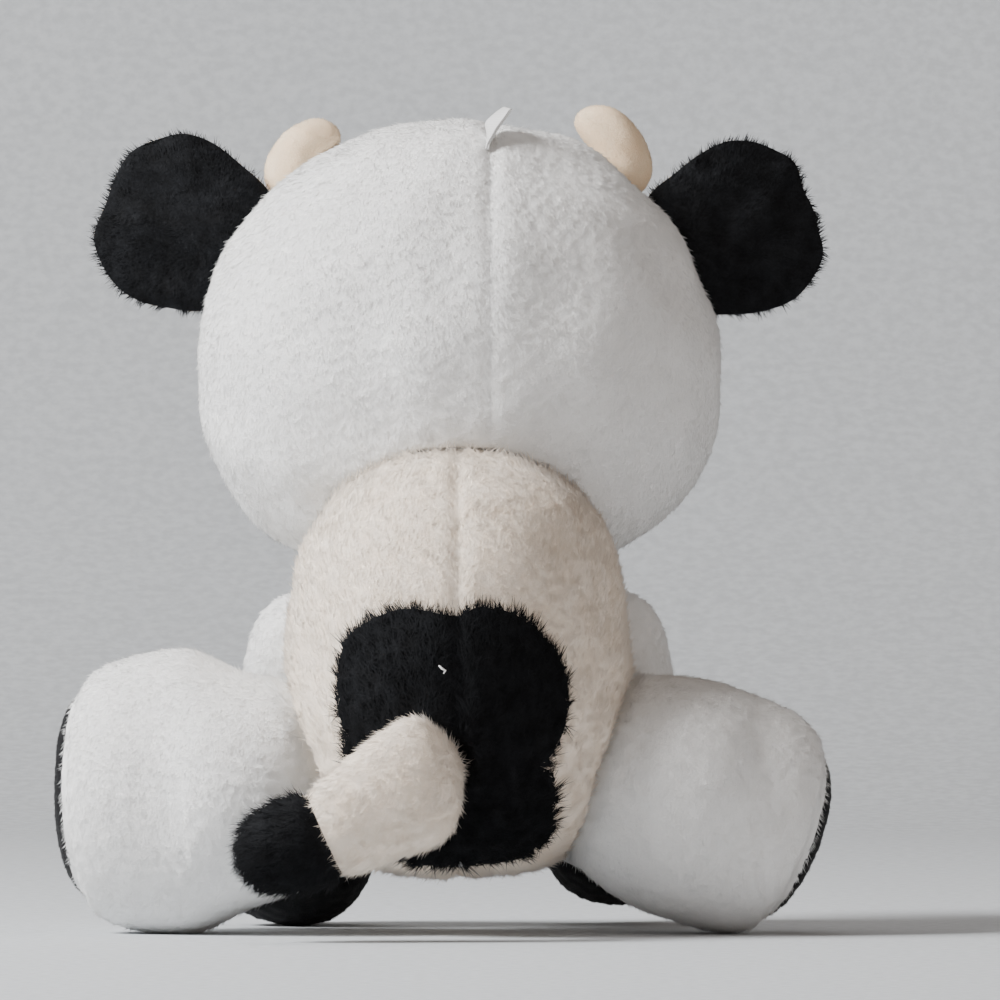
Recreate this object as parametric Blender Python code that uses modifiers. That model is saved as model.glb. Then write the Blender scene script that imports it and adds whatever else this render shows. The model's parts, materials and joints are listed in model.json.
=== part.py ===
"""A seated plush cow toy: fur-fabric skins sewn from panels over separate stuffing.

Metres, +Z up. The toy sits on a table with its face toward +Y and its back toward -Y.
Left and right are those of somebody who looks at the toy's back.
"""
import math

import bmesh
import bpy
from mathutils import Matrix, Vector

# Fabric, stuffing and clearances
SKIN = 0.0025
SEAM_GAP = 0.0003
FILL_GAP = 0.0006
SMALL_FILL_GAP = 0.0013
JOINT_GAP = 0.0011
SEAT_GAP = 0.0004
CUTTER_SPAN = 0.5
MERGE_DISTANCE = 0.00003

# Middle of the footprint, which comes over the origin at the end
ORIGIN_X = -0.0044
ORIGIN_Y = 0.0120

# Body: an egg whose upper part is a half ball
BODY_RADIUS = 0.051
BODY_HEIGHT = 0.1314
BODY_CLEAR_OF_FLOOR = 0.0162
BODY_Y = -0.012
BELLY_SEAM_SHARE = 0.3235
BODY_LOW_SHARES = [(0.0, 0.36), (0.12, 0.70), (0.34, 0.94), (0.66, 1.03)]
BODY_DOME_ANGLES = [0.0, 28.0, 55.0, 79.0]

# Black patch over the rump, seen from behind, measured from the tail's root
PATCH_WIDTH_SHARE = 1.3725
PATCH_HEIGHT = 0.078
PATCH_OUTLINE_SHARES = [
    (-0.52, 0.29), (-0.47, 0.48), (-0.25, 0.59), (-0.01, 0.565), (0.10, 0.60), (0.27, 0.56),
    (0.44, 0.40), (0.47, 0.25), (0.45, 0.10), (0.385, 0.00), (0.42, -0.09), (0.41, -0.24),
    (0.30, -0.36), (0.02, -0.40), (-0.25, -0.375), (-0.43, -0.19), (-0.48, 0.02)]

# Head: wide and low, its lowest rings hidden behind the body's top
HEAD_WIDTH = 0.160
HEAD_HEIGHT = 0.1392
HEAD_DEPTH = 0.120
HEAD_AHEAD_SHARE = 0.40
HEAD_SEAM_X = 0.0098
FACE_SEAM_SHARE = 0.05
NECK_OVERLAP = 0.0426
HEAD_RING_SHARES = [
    (0.0, 0.38), (0.10, 0.71), (0.25, 0.93), (0.42, 1.0),
    (0.60, 0.96), (0.77, 0.82), (0.91, 0.57), (1.0, 0.28)]

# Muzzle
MUZZLE_WIDTH = 0.072
MUZZLE_HEIGHT = 0.050
MUZZLE_DEPTH = 0.052
MUZZLE_Z_SHARE = 0.245
MUZZLE_Y_SHARE = 0.90
MUZZLE_RING_SHARES = [(0.0, 0.60), (0.36, 0.96), (0.64, 0.97), (0.88, 0.72), (1.0, 0.40)]

# Safety eyes with their shanks and washers
EYE_RADIUS = 0.0065
EYE_DOME = 0.0045
EYE_X_SHARE = 0.40
EYE_Z_SHARE = 0.42
SHANK_RADIUS = 0.002
SHANK_LENGTH = 0.011
SHANK_BORE_LENGTH = 0.033
SHANK_CLEARANCE = 0.0004
WASHER_RADIUS = 0.0075
WASHER_THICKNESS = 0.0014
WASHER_GAP = 0.0014
POCKET_MARGIN = 0.0008
POCKET_LENGTH = 0.0228

# Ears, each a flat lobe of two layers
EAR_LENGTH = 0.0540
EAR_WIDTH = 0.0530
EAR_THICKNESS = 0.0074
EAR_ROOT_GAP = 0.0010
EAR_ROOT_X_SHARE = 0.71
EAR_ROOT_Z_SHARE = 0.685
EAR_Y_SHARE = 0.075
LEFT_EAR_RISE_DEG = 24.0
RIGHT_EAR_RISE_DEG = 20.0
EAR_SWEEP_DEG = 6.0
EAR_HINGE_REACH = 0.0105
EAR_RING_SHARES = [
    (0.0, 0.58, 0.80), (0.20, 0.78, 1.0), (0.46, 0.97, 1.0), (0.70, 0.98, 0.96),
    (0.90, 0.74, 0.72), (1.0, 0.44, 0.46)]

# Horns, each a short curved cone
HORN_RADIUS = 0.0085
HORN_X_SHARE = 0.594
HORN_Y_SHARE = 0.1167
HORN_LEAN = 0.0125
HORN_BELOW_TOP = 0.024
LEFT_HORN_HEIGHT = 0.0200
RIGHT_HORN_HEIGHT = 0.0250
HORN_PATH_SHARES = [(0.0, 0.0), (-0.20, 0.40), (0.22, 0.80), (1.0, 1.0)]
HORN_TAPER_SHARES = [0.92, 1.0, 0.88, 0.42]

# Hanging loop of folded ribbon in the head's top seam
LOOP_WIDTH = 0.0075
LOOP_HEIGHT = 0.0140
LOOP_GAP = 0.0022
RIBBON = 0.0006
LOOP_X = 0.0118
LOOP_Y_SHARE = -0.2333
LOOP_BELOW_TOP = 0.0105
LOOP_LEAN_DEG = 14.0
LOOP_STEPS = 10

# Front legs: a ball at the shoulder, a sleeve and a black bulging hoof
SHOULDER_RADIUS = 0.0225
SHOULDER_X_SHARE = 0.8235
SHOULDER_Y_SHARE = 1.1137
SHOULDER_Z = 0.0820
FRONT_LEG_LENGTH = 0.0756
FRONT_LEG_RADIUS = 0.0260
HOOF_BULGE = 0.0110
HOOF_HEIGHT = 0.0115
LEFT_LEG_OUT_DEG = 8.0
LEFT_LEG_FORWARD_DEG = 24.0
RIGHT_LEG_OUT_DEG = 7.0
RIGHT_LEG_FORWARD_DEG = 36.0
FRONT_RING_SHARES = [(0.38, 0.90), (0.74, 1.0), (0.94, 0.95)]
HOOF_RING_SHARES = [(0.55, 0.72), (1.0, 0.36)]

# Hind legs: a ball at the hip, a stubby thigh and a round black sole
HIP_RADIUS = 0.0365
HIP_OUTSIDE_BODY = 0.0130
HIP_Y_SHARE = 0.0784
LEFT_THIGH_HEIGHT = 0.0862
RIGHT_THIGH_HEIGHT = 0.0735
THIGH_DEPTH = 0.0660
LEFT_HIP_Z = 0.0431
RIGHT_HIP_Z = 0.0423
LEFT_HIND_LEG_LENGTH = 0.0500
RIGHT_HIND_LEG_LENGTH = 0.0395
LEFT_YAW_DEG = 16.0
LEFT_DROP_DEG = 2.0
RIGHT_YAW_DEG = 18.0
RIGHT_DROP_DEG = 20.0
SOLE_BULGE = 0.0065
THIGH_RING_SHARES = [(0.30, 1.0), (0.62, 0.99), (0.88, 0.90)]
SOLE_RING_SHARES = [(0.45, 0.68), (1.0, 0.36)]

# Tail: a sleeve that leaves the back seam, turns to the left and ends in a black tuft
TAIL_ROOT_RADIUS = 0.0080
TAIL_ROOT_SINK_SHARE = 0.3333
TAIL_ROOT_FLAT_SHARE = 0.75
TAIL_ROOT_X = -0.0030
TAIL_ROOT_Z = 0.0525
TAIL_STAND_OFF = 0.0241
TAIL_BEND_ASIDE = 0.0025
TAIL_REACH = 0.0395
TUFT_REACH = 0.0275
BEND_DROP_DEG = 16.0
TAIL_DROP_DEG = 31.0
TUFT_SEAM_DROP_DEG = 24.0
TUFT_DROP_DEG = 14.0
SLEEVE_WIDTH = 0.0400
SLEEVE_DEPTH = 0.0210
TUFT_WIDTH = 0.0300
TAIL_ROOT_SHARES = [(-0.92, 0.42), (-0.50, 0.80), (0.45, 0.78)]
TAIL_BEND_SHARES = (0.10, 1.0)
TAIL_BEND_WIDTH_SHARE = 1.14
TAIL_SLEEVE_SHARES = [(0.48, 0.90)]
TAIL_TUFT_SHARES = [(0.62, 0.98), (1.0, 0.48)]
TAIL_MOUTH_RADIUS = 0.0040
TAIL_FILL_GAP = 0.0034
TAIL_CORE_START = 2

# Openings through which a limb is turned and filled
MOUTH_RADIUS = 0.0110
DOME_ANGLES = [-72.0, -37.0, 0.0]

# Counts
BIG_SIDES = 12
CORE_SIDES = 8
LIMB_SIDES = 8
SMALL_SIDES = 6
SUBDIVISION = 1
RING_TURN_SHARE = 0.25
END_INSET_SHARE = 0.55
BALL_SEGMENTS = 24
BALL_RINGS = 12
ROUND_SEGMENTS = 16
EYE_STEPS = 3
OUTLINE_STEPS = 3
FIT_ROUNDS = 12

WHITE_FUR = ("white_fur", (0.86, 0.85, 0.83, 1.0), 0.95)
CREAM_FUR = ("cream_fur", (0.86, 0.81, 0.72, 1.0), 0.95)
BLACK_FUR = ("black_fur", (0.02, 0.02, 0.024, 1.0), 0.92)
BLACK_VELOUR = ("black_velour", (0.015, 0.015, 0.017, 1.0), 0.80)
PEACH_VELOUR = ("peach_velour", (0.86, 0.66, 0.50, 1.0), 0.85)
FIBRE_FILL = ("fibre_fill", (0.93, 0.93, 0.92, 1.0), 1.0)
EYE_PLASTIC = ("eye_plastic", (0.01, 0.01, 0.01, 1.0), 0.12)
WASHER_PLASTIC = ("washer_plastic", (0.90, 0.90, 0.88, 1.0), 0.45)
SATIN_RIBBON = ("satin_ribbon", (0.92, 0.92, 0.90, 1.0), 0.40)

X_AXIS = Vector((1, 0, 0))
Y_AXIS = Vector((0, 1, 0))
Z_AXIS = Vector((0, 0, 1))

BODY_TOP = BODY_CLEAR_OF_FLOOR + BODY_HEIGHT
DOME_CENTRE = Vector((0, BODY_Y, BODY_TOP - BODY_RADIUS))
BELLY_SEAM_Y = BODY_Y + BODY_RADIUS * BELLY_SEAM_SHARE
HEAD_Y = BODY_Y + HEAD_DEPTH * HEAD_AHEAD_SHARE
HEAD_BASE = Vector((0, HEAD_Y, BODY_TOP - NECK_OVERLAP))
HEAD_TOP = HEAD_BASE.z + HEAD_HEIGHT
FACE_SEAM_Y = HEAD_Y + HEAD_DEPTH * FACE_SEAM_SHARE
TAIL_ROOT_DEPTH = TAIL_ROOT_RADIUS * TAIL_ROOT_SINK_SHARE
TAIL_ROOT = Vector((TAIL_ROOT_X, BODY_Y - BODY_RADIUS + TAIL_ROOT_DEPTH, TAIL_ROOT_Z))


# Scene, collections, materials

def clear_scene():
    for thing in list(bpy.data.objects):
        bpy.data.objects.remove(thing, do_unlink=True)


def new_collection(name):
    collection = bpy.data.collections.new(name)
    bpy.context.scene.collection.children.link(collection)
    return collection


def material_of(finish):
    name, colour, roughness = finish
    material = bpy.data.materials.get(name)
    if material is None:
        material = bpy.data.materials.new(name)
        material.use_nodes = True
        surface = material.node_tree.nodes["Principled BSDF"]
        surface.inputs["Base Color"].default_value = colour
        surface.inputs["Roughness"].default_value = roughness
        surface.inputs["Metallic"].default_value = 0.0
        material.diffuse_color = colour
    return material


clear_scene()
PARTS = new_collection("plush_cow")
CUTTERS = new_collection("cutters")


def add_part(name, mesh, finish, parent=None):
    part = bpy.data.objects.new(name, mesh)
    PARTS.objects.link(part)
    part.data.materials.append(material_of(finish))
    if parent is not None:
        seat_under(part, parent)
    return part


def add_cutter(name, mesh, place=Matrix.Identity(4)):
    cutter = bpy.data.objects.new(name, mesh)
    CUTTERS.objects.link(cutter)
    cutter.matrix_world = place
    cutter.hide_render = True
    cutter.display_type = 'WIRE'
    return cutter


def add_pivot(name, place):
    """An empty on a joint's axis, which carries the moving pieces of that joint."""
    pivot = bpy.data.objects.new(name, None)
    PARTS.objects.link(pivot)
    pivot.location = place
    bpy.context.view_layer.update()
    return pivot


def seat_under(part, pivot):
    part.parent = pivot
    part.matrix_parent_inverse = pivot.matrix_world.inverted()


# Modifiers

def subdivide(part, levels=SUBDIVISION):
    modifier = part.modifiers.new("round", 'SUBSURF')
    modifier.levels = levels
    modifier.render_levels = levels


def thicken(part, thickness, offset=-1.0):
    modifier = part.modifiers.new("fabric", 'SOLIDIFY')
    modifier.thickness = thickness
    modifier.offset = offset
    modifier.use_even_offset = True


def split_into_facets(part):
    """Flat triangles, so that each cut that follows is exact."""
    part.modifiers.new("facets", 'TRIANGULATE')


def cut(part, cutter, operation='DIFFERENCE'):
    modifier = part.modifiers.new(cutter.name, 'BOOLEAN')
    modifier.operation = operation
    modifier.solver = 'EXACT'
    modifier.object = cutter


# Cutters

def box_mesh(name, span):
    shape = bmesh.new()
    bmesh.ops.create_cube(shape, size=span)
    mesh = bpy.data.meshes.new(name)
    shape.to_mesh(mesh)
    shape.free()
    return mesh


def space_beyond(name, point, normal):
    """A large box that fills the space beyond the plane through a point."""
    normal = normal.normalized()
    turn = Z_AXIS.rotation_difference(normal).to_matrix().to_4x4()
    place = Matrix.Translation(point + normal * CUTTER_SPAN / 2) @ turn
    return add_cutter(name, box_mesh(name, CUTTER_SPAN), place)


def quarter_space(name, side, seam_x, seam_y):
    """A large box behind one seam plane and beside another, for a back panel."""
    middle = Vector((seam_x + side * (SEAM_GAP + CUTTER_SPAN) / 2, seam_y - CUTTER_SPAN / 2, 0))
    return add_cutter(name, box_mesh(name, CUTTER_SPAN), Matrix.Translation(middle))


def ball_cutter(name, centre, radius):
    shape = bmesh.new()
    bmesh.ops.create_uvsphere(shape, u_segments=BALL_SEGMENTS, v_segments=BALL_RINGS, radius=radius)
    mesh = bpy.data.meshes.new(name)
    shape.to_mesh(mesh)
    shape.free()
    return add_cutter(name, mesh, Matrix.Translation(centre))


def rod_mesh(name, radius, length, segments=ROUND_SEGMENTS):
    shape = bmesh.new()
    bmesh.ops.create_cone(shape, cap_ends=True, segments=segments, radius1=radius, radius2=radius,
                          depth=length)
    mesh = bpy.data.meshes.new(name)
    shape.to_mesh(mesh)
    shape.free()
    return mesh


def rod_cutter(name, start, axis, radius, length):
    """A rod that runs from its start along the axis."""
    axis = axis.normalized()
    turn = Z_AXIS.rotation_difference(axis).to_matrix().to_4x4()
    place = Matrix.Translation(start + axis * length / 2) @ turn
    return add_cutter(name, rod_mesh(name, radius, length), place)


# Cages of rings

def pull_of(sides):
    """How far a subdivided ring shrinks inside its cage."""
    return (2.0 + math.cos(2.0 * math.pi / sides)) / 3.0


def through(points):
    """Cage values whose smoothed surface passes through the given ones, the ends kept."""
    cage = [point.copy() for point in points]
    for _ in range(FIT_ROUNDS):
        for index in range(1, len(points) - 1):
            cage[index] = (6.0 * points[index] - cage[index - 1] - cage[index + 1]) / 4.0
    return cage


def ring_cage(name, rings, sides, fitted=True):
    """A closed cage: each ring is a centre with two half axes, and both ends are capped."""
    centres = [ring[0] for ring in rings]
    firsts = [ring[1] for ring in rings]
    seconds = [ring[2] for ring in rings]
    if fitted:
        centres = through(centres)
        firsts = through(firsts)
        seconds = through(seconds)
    shape = bmesh.new()
    loops = []
    for centre, first, second in zip(centres, firsts, seconds):
        loop = []
        for side in range(sides):
            angle = 2.0 * math.pi * (side + RING_TURN_SHARE) / sides
            offset = (first * math.cos(angle) + second * math.sin(angle)) / pull_of(sides)
            loop.append(shape.verts.new(centre + offset))
        loops.append(loop)
    for lower, upper in zip(loops, loops[1:]):
        for side in range(sides):
            after = (side + 1) % sides
            shape.faces.new((lower[side], lower[after], upper[after], upper[side]))
    shape.faces.new(list(reversed(loops[0])))
    shape.faces.new(loops[-1])
    bmesh.ops.recalc_face_normals(shape, faces=shape.faces)
    mesh = bpy.data.meshes.new(name)
    shape.to_mesh(mesh)
    shape.free()
    mesh.shade_smooth()
    return mesh


def ring_radius(ring):
    return (ring[1].length + ring[2].length) / 2.0


def drawn_in(rings, inset):
    """The same rings moved inward along the form's own slope, for what fills the skin."""
    last = len(rings) - 1
    inner = []
    for index, (centre, first, second) in enumerate(rings):
        before = rings[max(index - 1, 0)]
        after = rings[min(index + 1, last)]
        path = after[0] - before[0]
        growth = ring_radius(after) - ring_radius(before)
        slope = math.atan2(growth, path.length)
        along, inward = -inset * math.sin(slope), inset * math.cos(slope)
        if index in (0, last):
            along = -inset if index == 0 else inset
            inward = inset * END_INSET_SHARE
        moved = centre - path.normalized() * along
        inner.append((moved, shorter(first, inward), shorter(second, inward)))
    return inner


def shorter(axis, inset):
    length = axis.length
    return axis * (length - min(inset, length / 2.0)) / length


# The shapes of the body, the head and the limbs, as rings

def body_rings():
    low = DOME_CENTRE.z - BODY_CLEAR_OF_FLOOR
    rings = []
    for height_share, radius_share in BODY_LOW_SHARES:
        centre = Vector((0, BODY_Y, BODY_CLEAR_OF_FLOOR + low * height_share))
        radius = BODY_RADIUS * radius_share
        rings.append((centre, X_AXIS * radius, Y_AXIS * radius))
    for angle in BODY_DOME_ANGLES:
        turn = math.radians(angle)
        centre = DOME_CENTRE + Z_AXIS * BODY_RADIUS * math.sin(turn)
        radius = BODY_RADIUS * math.cos(turn)
        rings.append((centre, X_AXIS * radius, Y_AXIS * radius))
    return rings


def head_rings():
    rings = []
    for height_share, width_share in HEAD_RING_SHARES:
        centre = HEAD_BASE + Z_AXIS * HEAD_HEIGHT * height_share
        rings.append((centre, X_AXIS * HEAD_WIDTH / 2 * width_share,
                      Y_AXIS * HEAD_DEPTH / 2 * width_share))
    return rings


def muzzle_rings():
    centre = HEAD_BASE + Vector((0, HEAD_DEPTH / 2 * MUZZLE_Y_SHARE, HEAD_HEIGHT * MUZZLE_Z_SHARE))
    rings = []
    for share, size_share in MUZZLE_RING_SHARES:
        middle = centre + Y_AXIS * MUZZLE_DEPTH * (share - 0.5)
        rings.append((middle, Z_AXIS * MUZZLE_HEIGHT / 2 * size_share,
                      X_AXIS * MUZZLE_WIDTH / 2 * size_share))
    return rings


def limb_rings(joint, axis, first, second, ball, length, sizes, middle_shares, bulge, bulge_shares):
    """A ball at the joint, then a sleeve that swells to two half sizes, then a bulging end."""
    rings = []
    for angle in DOME_ANGLES:
        turn = math.radians(angle)
        radius = ball * math.cos(turn)
        rings.append((joint + axis * ball * math.sin(turn), first * radius, second * radius))
    for share, size_share in middle_shares:
        rings.append((joint + axis * length * share, first * sizes[0] * size_share,
                      second * sizes[1] * size_share))
    for share, size_share in bulge_shares:
        rings.append((joint + axis * (length + bulge * share), first * sizes[0] * size_share,
                      second * sizes[1] * size_share))
    return rings


# Panels and stuffing

def skin_panel(name, cage, finish, parent=None):
    """A shell of fabric over a cage, before its panel is cut out."""
    panel = add_part(name, cage, finish, parent)
    subdivide(panel)
    thicken(panel, SKIN)
    split_into_facets(panel)
    return panel


def filling(name, cage, parent=None):
    core = add_part(name, cage, FIBRE_FILL, parent)
    subdivide(core)
    split_into_facets(core)
    return core


def smooth_outline(points, steps):
    """A closed smooth curve through the points, as a finer list."""
    count = len(points)
    finer = []
    for index in range(count):
        before, start = points[index - 1], points[index]
        end, after = points[(index + 1) % count], points[(index + 2) % count]
        for step in range(steps):
            share = step / steps
            finer.append(0.5 * (2.0 * start + (end - before) * share
                                + (2.0 * before - 5.0 * start + 4.0 * end - after) * share ** 2
                                + (3.0 * start - before - 3.0 * end + after) * share ** 3))
    return finer


def offset_outline(points, distance):
    """The outline moved outward by a distance, along its own normals."""
    moved = []
    for index, point in enumerate(points):
        along = (points[(index + 1) % len(points)] - points[index - 1]).normalized()
        moved.append(point + Vector((-along.y, along.x)) * distance)
    return moved


def prism_from_outline(name, points, depth, place):
    curve = bpy.data.curves.new(name, 'CURVE')
    curve.dimensions = '2D'
    curve.fill_mode = 'BOTH'
    curve.extrude = depth / 2
    spline = curve.splines.new('POLY')
    spline.points.add(len(points) - 1)
    for spot, point in zip(spline.points, points):
        spot.co = (point.x, point.y, 0, 1)
    spline.use_cyclic_u = True
    holder = bpy.data.objects.new(name + "_curve", curve)
    CUTTERS.objects.link(holder)
    holder.matrix_world = place
    depsgraph = bpy.context.evaluated_depsgraph_get()
    mesh = bpy.data.meshes.new_from_object(holder.evaluated_get(depsgraph))
    shape = bmesh.new()
    shape.from_mesh(mesh)
    bmesh.ops.remove_doubles(shape, verts=shape.verts, dist=MERGE_DISTANCE)
    bmesh.ops.recalc_face_normals(shape, faces=shape.faces)
    shape.to_mesh(mesh)
    shape.free()
    cutter = add_cutter(name, mesh, holder.matrix_world.copy())
    bpy.data.objects.remove(holder, do_unlink=True)
    return cutter


# Where the limbs leave the body

def hung_direction(side, out_deg, forward_deg):
    out = math.tan(math.radians(out_deg)) * side
    forward = math.tan(math.radians(forward_deg))
    return Vector((out, forward, -1)).normalized()


def splayed_direction(side, yaw_deg, drop_deg):
    yaw = math.radians(yaw_deg)
    drop = math.radians(drop_deg)
    return Vector((side * math.cos(yaw) * math.cos(drop), math.sin(yaw) * math.cos(drop),
                   -math.sin(drop)))


SIDES = (
    {"label": "left", "side": -1, "out": LEFT_LEG_OUT_DEG, "forward": LEFT_LEG_FORWARD_DEG,
     "yaw": LEFT_YAW_DEG, "drop": LEFT_DROP_DEG, "thigh": LEFT_THIGH_HEIGHT, "hip_z": LEFT_HIP_Z,
     "reach": LEFT_HIND_LEG_LENGTH, "horn": LEFT_HORN_HEIGHT, "ear_rise": LEFT_EAR_RISE_DEG},
    {"label": "right", "side": 1, "out": RIGHT_LEG_OUT_DEG, "forward": RIGHT_LEG_FORWARD_DEG,
     "yaw": RIGHT_YAW_DEG, "drop": RIGHT_DROP_DEG, "thigh": RIGHT_THIGH_HEIGHT, "hip_z": RIGHT_HIP_Z,
     "reach": RIGHT_HIND_LEG_LENGTH, "horn": RIGHT_HORN_HEIGHT, "ear_rise": RIGHT_EAR_RISE_DEG},
)


def shoulder_point(side):
    return Vector((side * BODY_RADIUS * SHOULDER_X_SHARE, BODY_Y + BODY_RADIUS * SHOULDER_Y_SHARE,
                   SHOULDER_Z))


def hip_point(side, height):
    return Vector((side * (BODY_RADIUS + HIP_OUTSIDE_BODY), BODY_Y + BODY_RADIUS * HIP_Y_SHARE, height))


FLOOR = space_beyond("floor_cut", Vector((0, 0, 0)), -Z_AXIS)


def limb_seats():
    """Hollows that the limbs and the tail press into the body."""
    seats = []
    for half in SIDES:
        shoulder = shoulder_point(half["side"])
        hip = hip_point(half["side"], half["hip_z"])
        seats.append(ball_cutter("shoulder_seat_" + half["label"], shoulder, SHOULDER_RADIUS + JOINT_GAP))
        seats.append(ball_cutter("hip_seat_" + half["label"], hip, HIP_RADIUS + JOINT_GAP))
    seats.append(ball_cutter("tail_seat", TAIL_ROOT, TAIL_ROOT_RADIUS + JOINT_GAP))
    return seats


# Body

def make_body():
    cage = ring_cage("body_cage", body_rings(), BIG_SIDES)
    seats = limb_seats()
    half_gap = SEAM_GAP / 2
    behind = space_beyond("behind_belly_seam", Vector((0, BELLY_SEAM_Y + half_gap, 0)), -Y_AXIS)
    width = BODY_RADIUS * PATCH_WIDTH_SHARE
    outline = [Vector((x * width, z * PATCH_HEIGHT)) for x, z in PATCH_OUTLINE_SHARES]
    outline = smooth_outline(outline, OUTLINE_STEPS)
    turn = Matrix.Rotation(math.pi / 2, 4, 'X')
    place = Matrix.Translation((0, BODY_Y - BODY_RADIUS, TAIL_ROOT_Z)) @ turn
    depth = 2 * BODY_RADIUS
    window = prism_from_outline("patch_window", offset_outline(outline, half_gap), depth, place)
    blank = prism_from_outline("patch_blank", offset_outline(outline, -half_gap), depth, place)

    for half in SIDES:
        label = half["label"]
        quarter = quarter_space("back_quarter_" + label, half["side"], 0, BELLY_SEAM_Y - half_gap)
        panel = skin_panel("back_panel_" + label, cage, CREAM_FUR)
        cut(panel, quarter, 'INTERSECT')
        for cutter in [window] + seats:
            cut(panel, cutter)
        patch = skin_panel("rump_patch_" + label, cage, BLACK_FUR)
        cut(patch, quarter, 'INTERSECT')
        cut(patch, blank, 'INTERSECT')
        cut(patch, seats[-1])
    belly = skin_panel("belly_panel", cage, CREAM_FUR)
    for cutter in [behind] + seats:
        cut(belly, cutter)

    core_cage = ring_cage("body_core_cage", drawn_in(body_rings(), SKIN + FILL_GAP), CORE_SIDES)
    core = filling("body_stuffing", core_cage)
    for cutter in seats:
        cut(core, cutter)


# Head

def head_surface_y(x):
    """The face's surface in front of a point at the head's widest rings."""
    share = 1.0 - (x / (HEAD_WIDTH / 2)) ** 2
    return HEAD_Y + HEAD_DEPTH / 2 * math.sqrt(max(share, 0.0))


def eye_frame(side):
    x = side * HEAD_WIDTH / 2 * EYE_X_SHARE
    z = HEAD_BASE.z + HEAD_HEIGHT * EYE_Z_SHARE
    point = Vector((x, head_surface_y(x), z))
    normal = Vector((x / (HEAD_WIDTH / 2) ** 2, (point.y - HEAD_Y) / (HEAD_DEPTH / 2) ** 2, 0))
    return point, normal.normalized()


def make_eye(label, side, pivot):
    point, normal = eye_frame(side)
    turn = Z_AXIS.rotation_difference(normal).to_matrix().to_4x4()
    place = Matrix.Translation(point + normal * SEAM_GAP) @ turn
    shape = bmesh.new()
    profile = [(0, EYE_DOME)]
    for step in range(1, EYE_STEPS + 1):
        angle = math.pi / 2 * step / EYE_STEPS
        profile.append((EYE_RADIUS * math.sin(angle), EYE_DOME * math.cos(angle)))
    profile += [(EYE_RADIUS, -SEAM_GAP), (SHANK_RADIUS, -SEAM_GAP), (SHANK_RADIUS, -SHANK_LENGTH),
                (0, -SHANK_LENGTH)]
    profile = [(x, z + SEAM_GAP) for x, z in profile]
    verts = [shape.verts.new((x, 0, z)) for x, z in profile]
    for lower, upper in zip(verts, verts[1:]):
        shape.edges.new((lower, upper))
    mesh = bpy.data.meshes.new("eye_profile_" + label)
    shape.to_mesh(mesh)
    shape.free()
    eye = add_part("eye_" + label, mesh, EYE_PLASTIC)
    screw = eye.modifiers.new("turn", 'SCREW')
    screw.axis = 'Z'
    screw.angle = 2 * math.pi
    screw.steps = ROUND_SEGMENTS
    screw.render_steps = ROUND_SEGMENTS
    screw.use_merge_vertices = True
    screw.merge_threshold = MERGE_DISTANCE
    eye.matrix_world = place
    seat_keep(eye, pivot)

    depth = SKIN + WASHER_GAP + WASHER_THICKNESS / 2
    washer_place = Matrix.Translation(point - normal * depth) @ turn
    washer = add_part("eye_washer_" + label, rod_mesh("washer_" + label, WASHER_RADIUS,
                                                      WASHER_THICKNESS), WASHER_PLASTIC)
    washer.matrix_world = washer_place
    bore = rod_cutter("washer_bore_" + label, point + normal * SHANK_LENGTH, -normal,
                      SHANK_RADIUS + SHANK_CLEARANCE, SHANK_BORE_LENGTH)
    cut(washer, bore)
    seat_keep(washer, pivot)
    return bore


def seat_keep(part, pivot):
    """Parent a placed piece to a pivot and keep it where it is."""
    place = part.matrix_world.copy()
    part.parent = pivot
    part.matrix_parent_inverse = pivot.matrix_world.inverted()
    part.matrix_world = place


def make_head(pivot):
    cage = ring_cage("head_cage", head_rings(), BIG_SIDES)
    neck = ball_cutter("neck_seat", DOME_CENTRE, BODY_RADIUS + JOINT_GAP)
    half_gap = SEAM_GAP / 2
    behind = space_beyond("behind_face_seam", Vector((0, FACE_SEAM_Y + half_gap, 0)), -Y_AXIS)
    for half in SIDES:
        label = half["label"]
        quarter = quarter_space("head_quarter_" + label, half["side"], HEAD_SEAM_X, FACE_SEAM_Y - half_gap)
        panel = skin_panel("head_back_" + label, cage, WHITE_FUR, pivot)
        cut(panel, quarter, 'INTERSECT')
        cut(panel, neck)
    face = skin_panel("face_panel", cage, WHITE_FUR, pivot)
    core_rings = drawn_in(head_rings(), SKIN + FILL_GAP)
    core = filling("head_stuffing", ring_cage("head_core_cage", core_rings, CORE_SIDES), pivot)
    for cutter in (behind, neck):
        cut(face, cutter)
    cut(core, neck)
    for label, side in (("left", -1), ("right", 1)):
        bore = make_eye(label, side, pivot)
        cut(face, bore)
        point, normal = eye_frame(side)
        pocket = rod_cutter("eye_pocket_" + label, point + normal * SHANK_LENGTH, -normal,
                            WASHER_RADIUS + POCKET_MARGIN, POCKET_LENGTH)
        cut(core, pocket)


def make_muzzle(pivot):
    head_space = add_cutter("head_space", ring_cage("head_space", drawn_in(head_rings(), -SEAT_GAP),
                                                    BIG_SIDES))
    subdivide(head_space)
    split_into_facets(head_space)
    skin = skin_panel("muzzle_skin", ring_cage("muzzle_cage", muzzle_rings(), CORE_SIDES),
                      PEACH_VELOUR, pivot)
    cut(skin, head_space)
    core_rings = drawn_in(muzzle_rings(), SKIN + SMALL_FILL_GAP)
    core = filling("muzzle_stuffing", ring_cage("muzzle_core_cage", core_rings, SMALL_SIDES), pivot)
    cut(core, head_space)
    return head_space


# Ears

def ear_axes(side, rise_deg):
    rise = math.radians(rise_deg)
    sweep = math.radians(EAR_SWEEP_DEG)
    along = Vector((side * math.cos(rise) * math.cos(sweep), math.sin(sweep) * math.cos(rise),
                    math.sin(rise))).normalized()
    across = along.cross(Y_AXIS).normalized() * side
    return along, across


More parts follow.
